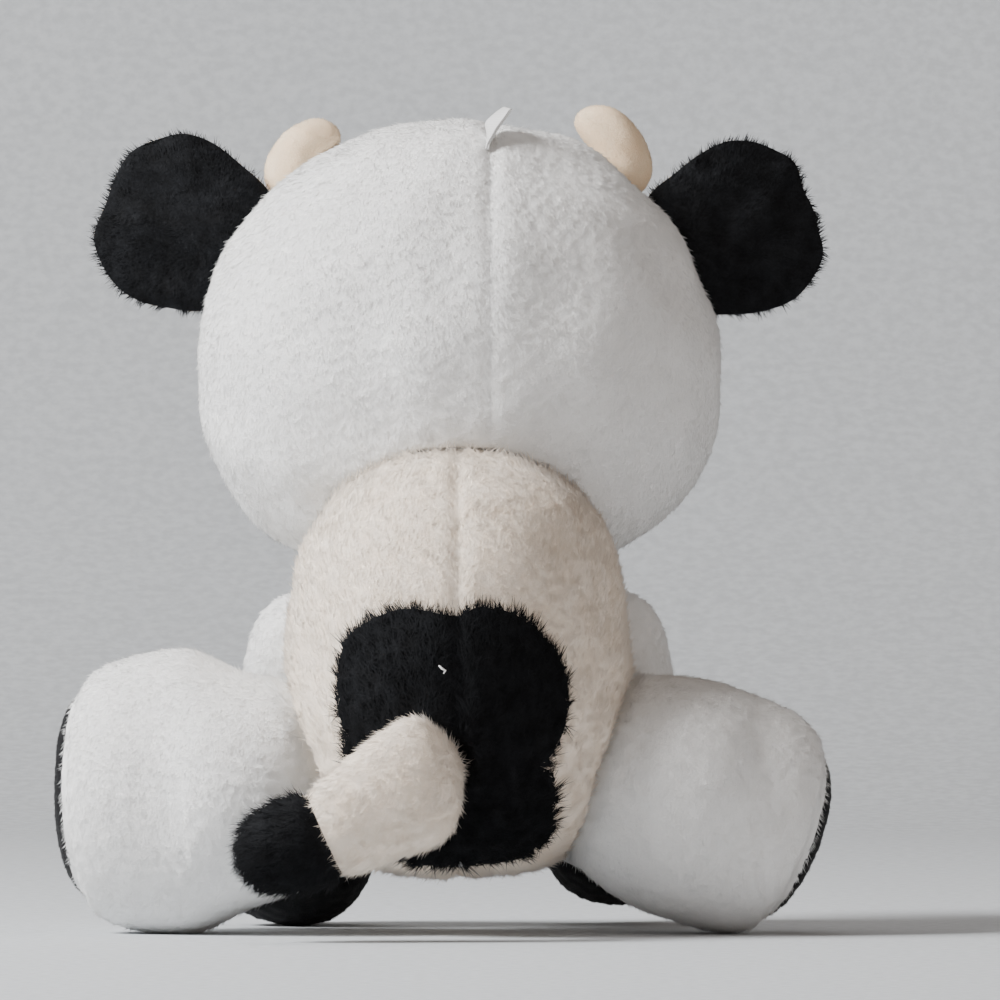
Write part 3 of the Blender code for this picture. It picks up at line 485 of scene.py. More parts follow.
def muzzle_rings():
    return [(MUZZLE_MIDDLE + Y_AXIS * MUZZLE_DEPTH * (share - 0.5), Z_AXIS * MUZZLE_HEIGHT / 2 * size,
             X_AXIS * MUZZLE_WIDTH / 2 * size) for share, size in MUZZLE_RING_SHARES]


def limb_rings(joint, axis, first, second, ball, length, sizes, middle_shares, bulge, bulge_shares):
    """A ball at the joint, then a sleeve that swells to two half sizes, then a bulging end."""
    rings = []
    for degrees in LIMB_DOME_DEGREES:
        turn = math.radians(degrees)
        radius = ball * math.cos(turn)
        rings.append((joint + axis * ball * math.sin(turn), first * radius, second * radius))
    for share, size_share in middle_shares:
        rings.append((joint + axis * length * share, first * sizes[0] * size_share,
                      second * sizes[1] * size_share))
    for share, size_share in bulge_shares:
        rings.append((joint + axis * (length + bulge * share), first * sizes[0] * size_share,
                      second * sizes[1] * size_share))
    return rings


def front_leg(label, side):
    """Rings, axis, hoof seam and way of the pile of a front leg."""
    out, forward = FRONT_LEG_DEGREES[label]
    axis = Vector((math.tan(math.radians(out)) * side, math.tan(math.radians(forward)), -1)).normalized()
    first = axis.cross(Y_AXIS).normalized()
    second = axis.cross(first).normalized()
    joint = JOINT_PLACES["shoulder_" + label]
    sizes = (FRONT_LEG_RADIUS, FRONT_LEG_RADIUS)
    rings = limb_rings(joint, axis, first, second, SHOULDER_RADIUS, FRONT_LEG_LENGTH, sizes,
                       FRONT_RING_SHARES, HOOF_BULGE, HOOF_RING_SHARES)
    return rings, axis, joint + axis * (FRONT_LEG_LENGTH - HOOF_HEIGHT), along_axis(axis)


def hind_leg(label, _):
    """Rings, axis, sole seam and way of the pile of a hind leg, whose joint axis is its own."""
    axis = JOINT_AXES["hip_" + label]
    second = axis.cross(Z_AXIS).normalized()
    first = second.cross(axis).normalized()
    joint = JOINT_PLACES["hip_" + label]
    sizes = (THIGH_HEIGHTS[label] / 2, THIGH_DEPTH / 2)
    reach = HIND_LEG_LENGTHS[label]
    rings = limb_rings(joint, axis, first, second, HIP_RADIUS, reach, sizes,
                       THIGH_RING_SHARES, SOLE_BULGE, SOLE_RING_SHARES)
    whorl = joint - axis * THIGH_WHORL_INWARD + Z_AXIS * THIGH_WHORL_RISE
    return rings, axis, joint + axis * reach, from_point(whorl, -THIGH_PILE_FALL)


def in_back_plane(drop_deg):
    """The way to the left and down at an angle, and the way across it."""
    drop = math.radians(drop_deg)
    along = Vector((-math.cos(drop), 0, -math.sin(drop)))
    return along, along.cross(Y_AXIS).normalized()


def tail_rings():
    """A ball in the back, a turn toward the left, the sleeve and the tuft, on a curving path."""
    along, across = in_back_plane(TAIL_DROP_DEG)
    seam_along, seam_across = in_back_plane(TUFT_SEAM_DROP_DEG)
    tuft_along, tuft_across = in_back_plane(TUFT_DROP_DEG)
    bend_along, bend_across = in_back_plane(BEND_DROP_DEG)
    out = -Y_AXIS
    bend = TAIL_ROOT + out * TAIL_STAND_OFF + along * TAIL_BEND_ASIDE
    seam = bend + along * TAIL_REACH
    half_depth = SLEEVE_DEPTH / 2
    inward = (bend_along - out).normalized()
    shift, size = TAIL_BEND_SHARES
    rings = []
    for share, radius_share in TAIL_ROOT_SHARES:
        radius = TAIL_ROOT_RADIUS * radius_share
        rings.append((TAIL_ROOT + out * TAIL_ROOT_RADIUS * share, bend_across * radius,
                      bend_along * radius * TAIL_ROOT_FLAT_SHARE))
    rings.append((bend + inward * half_depth * shift, bend_across * SLEEVE_WIDTH / 2 * TAIL_BEND_WIDTH_SHARE,
                  inward * half_depth * size))
    for share, size_share in TAIL_SLEEVE_SHARES:
        rings.append((bend + along * TAIL_REACH * share, across * SLEEVE_WIDTH / 2 * size_share,
                      Y_AXIS * half_depth * size_share))
    rings.append((seam, seam_across * TUFT_WIDTH / 2, Y_AXIS * half_depth))
    for share, size_share in TAIL_TUFT_SHARES:
        rings.append((seam + tuft_along * TUFT_REACH * share, tuft_across * TUFT_WIDTH / 2 * size_share,
                      Y_AXIS * half_depth * size_share))
    return rings, seam_along, seam


# Materials

# Each fabric's dark and light colour, roughness, sheen, scales of its clumps and fibres, bump and glow
FABRICS = {
    "white_fur": ((0.86, 0.86, 0.85), (0.92, 0.92, 0.91), 0.9, 0.2, 160.0, 1500.0, 0.2, 0.4),
    "cream_fur": ((0.90, 0.77, 0.63), (0.94, 0.84, 0.725), 0.9, 0.2, 150.0, 1400.0, 0.2, 0.4),
    # The black fur's colour varies at random, and its lighter fibres are also painted highlights: glints of
    # single fibres
    "black_fur": ((0.0015, 0.0015, 0.002), (0.011, 0.012, 0.0145), 0.8, 0.02, 170.0, 1300.0, 0.4, 0.0),
    "black_velour": ((0.005, 0.005, 0.006), (0.012, 0.012, 0.014), 0.8, 0.1, 120.0, 2400.0, 0.5, 0.0),
    "peach_velour": ((0.96, 0.72, 0.48), (0.99, 0.80, 0.58), 0.85, 0.1, 140.0, 2200.0, 0.4, 0.3),
    "fibre_fill": ((0.72, 0.72, 0.71), (0.92, 0.92, 0.91), 1.0, 0.3, 220.0, 1800.0, 0.8, 0.0),
    "thread": ((0.16, 0.075, 0.055), (0.26, 0.13, 0.10), 0.5, 0.2, 400.0, 3000.0, 0.4, 0.0)}
SURFACE = "Principled BSDF"
CLUMP_SHARE = 0.55
FIBRE_SHARE = 0.45
CLUMP_DETAIL = 3.0
FIBRE_DETAIL = 2.0
FIBRE_TONES = (0.30, 0.62)
FIBRE_RELIEF = 0.0006
FIBRE_SPECULAR = 0.2
SHEEN_ROUGHNESS = 0.45
GLOW_REACH = 0.0012
GLOW_SHARES = (1.0, 0.95, 0.9)
PLAIN_SCALE = 260.0
PLAIN_TONES = (0.35, 0.65)
PLAIN_LIGHTER = 1.15
PLAIN_LIFT = 0.004
EYE_LOOKS = ((0.008, 0.007, 0.007), 0.08, 0.6)
WASHER_LOOKS = ((0.85, 0.85, 0.83), 0.45)
FLOOR_LOOKS = ((0.60, 0.625, 0.65), 0.9)
SATIN_COLOURS = ((0.80, 0.80, 0.79), (0.93, 0.93, 0.92))
SATIN_TONES = (0.2, 0.8)
SATIN_ROUGHNESS = 0.38
SATIN_SHEEN = 0.2
RIB_SCALE = 620.0
RIB_WAVER = 0.6
RIB_BUMP = 0.3
RIB_RELIEF = 0.0001


def set_inputs(node, values):
    for name, value in values.items():
        node.inputs[name].default_value = value


def new_material(name, looks):
    """A material with the given surface values, which notes its name as the slot's."""
    material = bpy.data.materials.new(name)
    material.use_nodes = True
    material["slot"] = name
    set_inputs(material.node_tree.nodes[SURFACE], looks)
    return material, material.node_tree


def texture_at(tree, kind, scale):
    """A texture over the piece's own coordinates."""
    place = tree.nodes.new('ShaderNodeTexCoord')
    texture = tree.nodes.new(kind)
    texture.inputs["Scale"].default_value = scale
    tree.links.new(place.outputs["Object"], texture.inputs["Vector"])
    return texture


def noise_at(tree, scale, detail=CLUMP_DETAIL):
    texture = texture_at(tree, 'ShaderNodeTexNoise', scale)
    texture.inputs["Detail"].default_value = detail
    return texture.outputs["Fac"]


def part_times(tree, value, share, kind='MULTIPLY'):
    """A node that multiplies a value by a share."""
    part = tree.nodes.new('ShaderNodeMath')
    part.operation = kind
    part.inputs[1].default_value = share
    tree.links.new(value, part.inputs[0])
    return part


def colour_by(tree, value, tones, colours):
    """Lets a value lead the surface's colour from one tone to another."""
    ramp = tree.nodes.new('ShaderNodeValToRGB')
    tree.links.new(value, ramp.inputs["Fac"])
    for element, tone, colour in zip(ramp.color_ramp.elements, tones, colours):
        element.position = tone
        element.color = (*colour, 1)
    tree.links.new(ramp.outputs["Color"], tree.nodes[SURFACE].inputs["Base Color"])


def relief_by(tree, height, strength, distance):
    relief = tree.nodes.new('ShaderNodeBump')
    set_inputs(relief, {"Strength": strength, "Distance": distance})
    tree.links.new(height, relief.inputs["Height"])
    tree.links.new(relief.outputs["Normal"], tree.nodes[SURFACE].inputs["Normal"])


def fabric(name, dark, light, roughness, sheen, clump_scale, fibre_scale, bump, glow):
    """Pile or velour: colour that varies by clump and by fibre, light that soaks in, and a fine bump."""
    material, tree = new_material(name, {
        "Roughness": roughness, "Sheen Weight": sheen, "Sheen Roughness": SHEEN_ROUGHNESS,
        "Specular IOR Level": FIBRE_SPECULAR, "Subsurface Weight": glow, "Subsurface Radius": GLOW_SHARES,
        "Subsurface Scale": GLOW_REACH})
    tree.nodes[SURFACE].subsurface_method = 'BURLEY'
    clump = noise_at(tree, clump_scale)
    fibre = noise_at(tree, fibre_scale, FIBRE_DETAIL)
    blend = part_times(tree, clump, CLUMP_SHARE, 'MULTIPLY_ADD')
    share = part_times(tree, fibre, FIBRE_SHARE)
    tree.links.new(share.outputs[0], blend.inputs[2])
    colour_by(tree, blend.outputs[0], FIBRE_TONES, (dark, light))
    relief_by(tree, fibre, bump, FIBRE_RELIEF)
    return material


def plain(name, colour, roughness, coat=0.0):
    material, tree = new_material(name, {"Roughness": roughness, "Coat Weight": coat})
    lighter = tuple(min(value * PLAIN_LIGHTER + PLAIN_LIFT, 1.0) for value in colour)
    colour_by(tree, noise_at(tree, PLAIN_SCALE), PLAIN_TONES, (colour, lighter))
    return material


def satin():
    """Ribbon: fine ribs across its width and a soft gloss."""
    material, tree = new_material("satin_ribbon", {
        "Roughness": SATIN_ROUGHNESS, "Sheen Weight": SATIN_SHEEN})
    ribs = texture_at(tree, 'ShaderNodeTexWave', RIB_SCALE)
    ribs.bands_direction = 'Z'
    ribs.inputs["Distortion"].default_value = RIB_WAVER
    colour_by(tree, ribs.outputs["Fac"], SATIN_TONES, SATIN_COLOURS)
    relief_by(tree, ribs.outputs["Fac"], RIB_BUMP, RIB_RELIEF)
    return material


WHITE, CREAM, BLACK, SOLE, PEACH, FILL, THREAD = (fabric(name, *looks) for name, looks in FABRICS.items())
EYE = plain("eye_plastic", *EYE_LOOKS)
WASHER = plain("washer_plastic", *WASHER_LOOKS)
RIBBON_CLOTH = satin()


# Pieces

def add_piece(name, mesh, finish, body, replaced=None):
    """A smooth piece that rides a body, in the slot of its finish."""
    piece = add_object(name, mesh)
    mesh.materials.clear()
    mesh.materials.append(finish)
    mesh.shade_smooth()
    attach(piece, body)
    if replaced is not None:
        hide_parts(replaced)
    return piece


def part_of(mesh, keep):
    """The part of a mesh whose faces are kept, with its loose points gone."""
    shape = bmesh.new()
    shape.from_mesh(mesh)
    shape.faces.ensure_lookup_table()
    gone = [face for face, kept in zip(shape.faces, keep) if not kept]
    bmesh.ops.delete(shape, geom=gone, context='FACES')
    return mesh_from(shape, "panel")


def split_at(mesh, point, normal):
    """The same mesh with an edge line where a plane passes."""
    shape = bmesh.new()
    shape.from_mesh(mesh)
    everything = shape.verts[:] + shape.edges[:] + shape.faces[:]
    bmesh.ops.bisect_plane(shape, geom=everything, plane_co=point, plane_no=normal, dist=SPLIT_SNAP)
    return mesh_from(shape, "form")


def hairs(mesh, pile, flow, seed, cover=None):
    """Points and faces of the pile that grows on a surface: thin three-sided tapering hairs."""
    random = np.random.default_rng(seed)
    mesh.calc_loop_triangles()
    corners = triples_of(mesh.loop_triangles, "vertices", np.int32, np.int32)
    places = places_of(mesh)
    normals = skin_normals_of(mesh)
    a, b, c = (places[corners[:, index]] for index in range(3))
    areas = np.linalg.norm(np.cross(b - a, c - a), axis=1) / 2.0
    number = int(areas.sum() * pile.density)
    picked = random.choice(len(corners), size=number, p=areas / areas.sum())
    u = np.sqrt(random.random(number))
    v = random.random(number)
    weights = np.stack([1.0 - u, u * (1.0 - v), u * v], axis=1)
    triangles = corners[picked]
    root = (places[triangles] * weights[:, :, None]).sum(1)
    normal = unit((normals[triangles] * weights[:, :, None]).sum(1))
    drift = np.stack([waves(root, pile.clump, seed + index) for index in range(3)], axis=1)
    lean = flow(root) + pile.drift * drift + random.normal(scale=pile.scatter, size=root.shape)
    lean = unit(lean - normal * (lean * normal).sum(1)[:, None])
    upright = random.random(number) < pile.guard
    share = np.ones(number) if cover is None else cover(root)
    tilt = np.radians(np.where(upright, pile.guard_lean, pile.lean)
                      - PILE_RUFFLE_LEAN * np.maximum(share - 1.0, 0.0)
                      + random.normal(scale=pile.spread, size=number)
                      + pile.sway * waves(root, pile.clump * SWAY_SIZE_SHARE, seed + SWAY_SEED_STEP))
    along = normal * np.cos(tilt)[:, None] + lean * np.sin(tilt)[:, None]
    length = pile.length * random.uniform(*HAIR_LENGTH_SHARES, number) * share
    sideways = unit(np.cross(along, normal))
    other = np.cross(along, sideways)
    width = pile.width * random.uniform(*HAIR_WIDTH_SHARES, number) / 2.0
    foot = root - normal * width[:, None] * HAIR_FOOT_SHARE
    turn = random.uniform(0.0, 2.0 * math.pi, number)
    points = []
    for index in range(HAIR_SIDES):
        angle = turn + index * 2.0 * math.pi / HAIR_SIDES
        ring = sideways * np.cos(angle)[:, None] + other * np.sin(angle)[:, None]
        points.append(foot + ring * width[:, None])
    points.append(foot + along * length[:, None])
    verts = np.stack(points, axis=1).reshape(-1, 3)
    base = np.arange(number)[:, None, None] * len(points)
    faces = (base + np.array(HAIR_FACES)).reshape(-1, 3)
    return verts, faces, np.repeat(normal, len(points), axis=0)


def add_grown(name, base, base_normals, pile, finish, body, replaced):
    """A piece made of a closed form and of the pile on it, each shaded by its own normals."""
    verts, faces, up = pile
    places = places_of(base)
    base_faces = [tuple(face.vertices) for face in base.polygons]
    mesh = bpy.data.meshes.new(name)
    mesh.from_pydata(np.vstack([places, verts]).tolist(), [], base_faces + (faces + len(places)).tolist())
    piece = add_piece(name, mesh, finish, body, replaced)
    mesh.normals_split_custom_set_from_vertices(np.vstack([base_normals, up]).tolist())
    return piece


def furred(name, surface, pile, flow, finish, body, replaced, seed, cover=None, thickness=SKIN):
    """A panel of fabric: its backing, thickened inward and closed, and the pile on its outside."""
    shell = with_modifier(surface, 'SOLIDIFY', thickness=thickness, offset=-1.0)
    normals = normals_of(shell)
    outside = len(surface.vertices)
    normals[:outside] = skin_normals_of(shell)[:outside]
    return add_grown(name, shell, normals, hairs(surface, pile, flow, seed, cover), finish, body, replaced)


def stuffing(name, form, inset, body, seed, seat=None):
    """The fibre inside a skin: the skin's form drawn in, with the tufts of loose fibre."""
    mesh = form.copy()
    places = places_of(mesh)
    normals = normals_of(mesh)
    uneven = FILL_LUMP * waves(places, FILL_LUMP_SIZE, seed)
    uneven += FILL_TUFT * waves(places, FILL_TUFT_SIZE, seed + 1)
    places += normals * (uneven - inset - FILL_SETTLE)[:, None]
    if seat:
        seat_on(places, *seat, -FILL_SEAT_GAP)
    set_places(mesh, places)
    add_piece(name, mesh, FILL, body, name)


def shaped(mesh, room, seed, lumps, seams=()):
    """The form inside its outline by the pile's room, with the stuffing's and the pile's unevenness."""
    places = places_of(mesh)
    normals = normals_of(mesh)
    lump, lump_size, clump = lumps
    lift = -room + lump * waves(places, lump_size, seed)
    if clump:
        lift += clump * waves(places, CLUMP_SIZE, seed + 1)
    for point, normal in seams:
        distance = (places - np.array(point)) @ np.array(normal)
        lift += groove(distance)
    places += normals * lift[:, None]
    return places


def seated(form, seed, lumps, tree, axis):
    """Shapes a velour form and seats it on another, and gives its unseated copy for the stuffing."""
    places = shaped(form, VELOUR_ROOM, seed, lumps)
    core = form.copy()
    set_places(core, places)
    seat_on(places, tree, axis, SEAT_SINK)
    set_places(form, places)
    return core


# Directions in which the pile lies, and where something covers it

def along_axis(axis):
    direction = np.array(axis)
    return lambda places: np.tile(direction, (len(places), 1))


def from_point(point, rise=0.0):
    """Away from a point, with some rise."""
    origin = np.array(point)
    return lambda places: unit(places - origin) + np.array([0.0, 0.0, rise])


def covered(trees=(), balls=()):
    """Shortens the pile inside other forms and in the seats of joints, and lets it rise beside them."""
    def cover(roots):
        share = np.ones(len(roots))
        for tree in trees:
            for index, root in enumerate(roots):
                spot = Vector(root)
                near, normal, _, _ = tree.find_nearest(spot)
                height = (spot - near).dot(normal)
                if height < 0:
                    share[index] = min(share[index], max(1.0 + height / PILE_COVER_DEPTH, HIDDEN_PILE_SHARE))
                elif height < PILE_RUFFLE_REACH:
                    ruffle = 1.0 + PILE_RUFFLE * (1.0 - height / PILE_RUFFLE_REACH)
                    share[index] = min(share[index], 1.0) * ruffle
        for middle, radius in balls:
            apart = np.linalg.norm(roots - np.array(middle), axis=1) - radius
            share[apart < PILE_EDGE] = HIDDEN_PILE_SHARE
        return share
    return cover


# Body

def smooth_outline(points, steps):
    """A closed smooth curve through the points, as a finer list."""
    count = len(points)
    finer = []
    for index in range(count):
        before, start = points[index - 1], points[index]
        end, after = points[(index + 1) % count], points[(index + 2) % count]
        for step in range(steps):
            share = step / steps
            finer.append(0.5 * (2.0 * start + (end - before) * share
                                + (2.0 * before - 5.0 * start + 4.0 * end - after) * share ** 2
                                + (3.0 * start - before - 3.0 * end + after) * share ** 3))
    return np.array([(point.x, point.y) for point in finer])


def inside_outline(spots, outline):
    """Whether each spot lies inside a closed outline."""
    inside = np.zeros(len(spots), dtype=bool)
    x, y = spots[:, 0], spots[:, 1]
    for (x0, y0), (x1, y1) in zip(outline, np.roll(outline, -1, axis=0)):
        crosses = (y0 > y) != (y1 > y)
        if y0 != y1:
            inside ^= crosses & (x < (x1 - x0) * (y - y0) / (y1 - y0) + x0)
    return inside


def nearest_on_outline(spots, outline):
    best = np.full(len(spots), HUGE)
    nearest = spots.copy()
    for start, end in zip(outline, np.roll(outline, -1, axis=0)):
        step = end - start
        share = np.clip(((spots - start) @ step) / (step @ step), 0.0, 1.0)
        point = start + share[:, None] * step
        distance = np.linalg.norm(spots - point, axis=1)
        closer = distance < best
        best[closer] = distance[closer]
        nearest[closer] = point[closer]
    return nearest, best


def patch_outline():
    points = [Vector((x * PATCH_WIDTH, z * PATCH_HEIGHT)) for x, z in PATCH_OUTLINE_SHARES]
    return smooth_outline(points, OUTLINE_STEPS) + np.array([DOME.x, TAIL_ROOT.z])


def body_seats():
    """Balls that clear the ends of the tail and the limbs."""
    seats = [(TAIL_ROOT, TAIL_ROOT_RADIUS + SEAT_GAP)]
    for label, _ in SIDES:
        seats.append((JOINT_PLACES["shoulder_" + label], SHOULDER_RADIUS + SEAT_GAP))
        seats.append((JOINT_PLACES["hip_" + label], HIP_RADIUS + SEAT_GAP))
    return seats


def make_body(head_tree):
    belly_seam = Vector((DOME.x, DOME.y + BELLY_SEAM_AHEAD, 0))
    middle_seam = Vector((DOME.x, 0, 0))
    form = smooth_form(body_rings(), BIG_SIDES)
    form = split_at(form, middle_seam, X_AXIS)
    form = split_at(form, belly_seam, Y_AXIS)
    places = places_of(form)
    outline = patch_outline()
    nearest, distance = nearest_on_outline(places[:, [0, 2]], outline)
    close = (distance < OUTLINE_SNAP) & (places[:, 1] < DOME.y)
    close &= np.abs(places[:, 0] - DOME.x) > CENTRE_SNAP
    places[close, 0] = nearest[close, 0]
    places[close, 2] = nearest[close, 1]
    set_places(form, places)
    places = shaped(form, FUR_ROOM, SEEDS["body"], BODY_LUMPS, [(belly_seam, Y_AXIS)])
    back = places[:, 1] < belly_seam.y + SEAM_GROOVE_WIDTH
    normals = normals_of(form)
    fade = np.clip((DOME.z + BODY_RADIUS - places[:, 2]) / BACK_SEAM_FADE, 0.0, 1.0)
    places[back] += normals[back] * (groove(places[back, 0] - DOME.x, BACK_SEAM_DEPTH) * fade[back])[:, None]
    for ball, radius in body_seats():
        press_in(places, BODY_MIDDLE, ball, radius)
    set_places(form, places)
    keep_skin_normals(form)
    middles = face_middles(form)
    behind = middles[:, 1] < belly_seam.y
    inside = inside_outline(middles[:, [0, 2]], outline) & (middles[:, 1] < DOME.y)
    spread = from_point((DOME.x, DOME.y, TAIL_ROOT.z), PILE_RISE)
    cover = covered([head_tree], body_seats())
    for label, side in SIDES:
        half = (middles[:, 0] - DOME.x) * side > 0
        panel = furred("back_fur_" + label, part_of(form, behind & half & ~inside), BODY_PILE, spread,
                       CREAM, "torso", "back_panel_" + label, SEEDS["back_fur"] + side, cover)
        patch = furred("patch_fur_" + label, part_of(form, behind & half & inside), BLACK_PILE, spread,
                       BLACK, "torso", "rump_patch_" + label, SEEDS["patch_fur"] + side, cover)
    belly = furred("belly_fur", part_of(form, ~behind), BODY_PILE, spread, CREAM, "torso", "belly_panel",
                   SEEDS["belly_fur"], cover)
    stuffing("body_stuffing", form, SKIN + FILL_GAP, "torso", SEEDS["body_stuffing"])
    make_loose_thread(bvh_of(form))


def make_loose_thread(tree):
    """The end of a white sewing thread that lies on the patch's pile."""
    points = []
    for aside, height in LOOSE_THREAD_PATH:
        hit, _, _, _ = tree.ray_cast(Vector((DOME.x + aside, -HUGE, height)), Y_AXIS)
        points.append(hit - Y_AXIS * LOOSE_THREAD_LIFT)
    shape = bmesh.new()
    thread(shape, points, LOOSE_THREAD_RADIUS)
    add_piece("loose_thread", closed_mesh_from(shape, "loose_thread"), WHITE, "torso")


# Head

def make_head():
    """The head's panels, and its form for what seats on it."""
    face_seam = Vector((DOME.x, FACE_SEAM_Y, 0))
    form = smooth_form(head_rings(), BIG_SIDES)
    form = split_at(form, Vector((HEAD_SEAM_X, 0, 0)), X_AXIS)
    form = split_at(form, face_seam, Y_AXIS)
    places = shaped(form, FUR_ROOM, SEEDS["head"], HEAD_LUMPS, [(face_seam, Y_AXIS)])
    normals = normals_of(form)
    back = places[:, 1] < face_seam.y + SEAM_GROOVE_WIDTH
    fade = np.clip((places[:, 2] - HEAD_BASE.z) / HEAD_HEIGHT, 0.0, 1.0) ** HEAD_SEAM_FADE
    places[back] += normals[back] * (groove(places[back, 0] - HEAD_SEAM_X) * fade[back])[:, None]
    for _, side in SIDES:
        point, normal = eye_place(side)
        apart = np.linalg.norm(places - np.array(point), axis=1)
        dent = EYE_DENT * np.exp(-(apart / EYE_DENT_REACH) ** 2)
        places -= np.outer(dent, np.array(normal))
    press_in(places, HEAD_MIDDLE, DOME, BODY_RADIUS - NECK_PRESS)
    set_places(form, places)
    keep_skin_normals(form)
    middles = face_middles(form)
    behind = middles[:, 1] < face_seam.y
    fall = from_point(HEAD_BASE + Z_AXIS * HEAD_HEIGHT * HEAD_WHORL_SHARE, -PILE_RISE)
    cover = covered((), [(DOME, BODY_RADIUS - NECK_PRESS)])
    for label, side in SIDES:
        half = (middles[:, 0] - HEAD_SEAM_X) * side > 0
        panel = furred("head_fur_" + label, part_of(form, behind & half), WHITE_PILE, fall, WHITE, "head",
                       "head_back_" + label, SEEDS["head_fur"] + side, cover)
    face = furred("face_fur", part_of(form, ~behind), WHITE_PILE, fall, WHITE, "head", "face_panel",
                  SEEDS["face_fur"], cover)
    stuffing("head_stuffing", form, SKIN + FILL_GAP, "head", SEEDS["head_stuffing"])
    return form


# Muzzle, with nostrils and a mouth in satin stitch

def on_muzzle(tree, x, z, lift):
    """A point in front of the muzzle's surface, given beside and above its middle."""
    spot = Vector((MUZZLE_MIDDLE.x + x, MUZZLE_MIDDLE.y + HUGE, MUZZLE_MIDDLE.z + z))
    hit, _, _, _ = tree.ray_cast(spot, -Y_AXIS)
    return hit + Y_AXIS * lift


def thread(shape, points, radius):
    """A tapering thread through the points, closed at its ends."""
    rows = []
    for index, point in enumerate(points):
        before = points[max(index - 1, 0)]
        after = points[min(index + 1, len(points) - 1)]
        tangent = (after - before).normalized()
        side = tangent.cross(Y_AXIS).normalized()
        other = tangent.cross(side)
        ends = index in (0, len(points) - 1)
        size = radius * (THREAD_END_SHARE if ends else 1.0)
        rows.append([shape.verts.new(point + (side * math.cos(angle) + other * math.sin(angle)) * size)
                     for angle in THREAD_ANGLES])
    close_rows(shape, rows)


def satin_stitch(shape, tree, start, end, pad):
    """One stitch from start to end on the muzzle, raised in its middle and sunk at its ends."""
    points = []
    for step in range(STITCH_STEPS + 1):
        share = step / STITCH_STEPS
        x = start[0] + (end[0] - start[0]) * share
        z = start[1] + (end[1] - start[1]) * share
        lift = pad * math.sqrt(math.sin(math.pi * share)) - THREAD_RADIUS * STITCH_SINK_SHARE
        points.append(on_muzzle(tree, x, z, lift))
    thread(shape, points, THREAD_RADIUS)


def make_embroidery(tree):
    """Satin-stitched nostrils and mouth."""
    shape = bmesh.new()
    for _, side in SIDES:
        for index in range(NOSTRIL_STITCHES):
            across = 2.0 * (index + 0.5) / NOSTRIL_STITCHES - 1.0
            tall = NOSTRIL_HEIGHT / 2 * math.sqrt(1.0 - across ** 2)
            x = side * NOSTRIL_X + NOSTRIL_WIDTH / 2 * across
            slant = NOSTRIL_SLANT * side
            satin_stitch(shape, tree, (x - slant, NOSTRIL_Z - tall), (x + slant, NOSTRIL_Z + tall),
                         STITCH_PAD)
    for index in range(MOUTH_STITCHES):
        along = 2.0 * (index + 0.5) / MOUTH_STITCHES - 1.0
        x = MOUTH_WIDTH / 2 * along
        z = MOUTH_Z + MOUTH_RISE * along ** 2
        slope = math.atan2(4.0 * MOUTH_RISE * along, MOUTH_WIDTH) + MOUTH_SLANT
        taper = (1.0 - along ** MOUTH_TAPER_POWER) * MOUTH_THICKNESS / 2
        ahead = (-math.sin(slope) * taper, math.cos(slope) * taper)
        satin_stitch(shape, tree, (x - ahead[0], z - ahead[1]), (x + ahead[0], z + ahead[1]), STITCH_PAD)
    add_piece("muzzle_embroidery", closed_mesh_from(shape, "embroidery"), THREAD, "head")


def make_muzzle(head_tree):
    form = smooth_form(muzzle_rings(), LIMB_SIDES)
    core = seated(form, SEEDS["muzzle"], MUZZLE_LUMPS, head_tree, Y_AXIS)
    spread = from_point(MUZZLE_MIDDLE + Y_AXIS * MUZZLE_WHORL_AHEAD)
    muzzle = furred("muzzle_velour", form, VELOUR_PILE, spread, PEACH, "head", "muzzle_skin",
                    SEEDS["muzzle_fur"])
    stuffing("muzzle_stuffing", core, SKIN + FILL_GAP, "head", SEEDS["muzzle_stuffing"],
             (head_tree, Y_AXIS))
    make_embroidery(bvh_of(form))


# Eyes

def eye_place(side):
    x = HEAD_WIDTH / 2 * EYE_X_SHARE * side
    share = 1.0 - (x / (HEAD_WIDTH / 2)) ** 2
    point = HEAD_BASE + Vector((x, HEAD_DEPTH / 2 * math.sqrt(share), HEAD_HEIGHT * EYE_Z_SHARE))
    normal = Vector((x / (HEAD_WIDTH / 2) ** 2, (point.y - HEAD_BASE.y) / (HEAD_DEPTH / 2) ** 2, 0))
    return point, normal.normalized()


def make_eye(label, side):
    """A domed black eye on its shank, turned as one profile."""
    point, normal = eye_place(side)
    turn = Z_AXIS.rotation_difference(normal).to_matrix().to_4x4()
    place = Matrix.Translation(point) @ turn
    profile = [(0.0, EYE_DOME)]
    for step in range(1, EYE_STEPS + 1):
        angle = math.pi / 2 * step / EYE_STEPS
        profile.append((EYE_RADIUS * math.sin(angle), EYE_DOME * math.cos(angle)))
    profile += [(EYE_RADIUS * EYE_BACK_SHARE, -EYE_RIM), (SHANK_RADIUS, -EYE_RIM),
                (SHANK_RADIUS, -SHANK_LENGTH), (0.0, -SHANK_LENGTH)]
    shape = bmesh.new()
    verts = [shape.verts.new((x, 0, z)) for x, z in profile]
    for lower, upper in zip(verts, verts[1:]):
        shape.edges.new((lower, upper))
    bmesh.ops.spin(shape, geom=shape.verts[:] + shape.edges[:], cent=(0, 0, 0), axis=(0, 0, 1),
                   angle=2 * math.pi, steps=EYE_SIDES)
    bmesh.ops.remove_doubles(shape, verts=shape.verts, dist=EYE_SNAP)
    mesh = closed_mesh_from(shape, "eye")
    mesh.transform(place)
    add_piece("eye_dome_" + label, mesh, EYE, "head", "eye_" + label)


# Ears

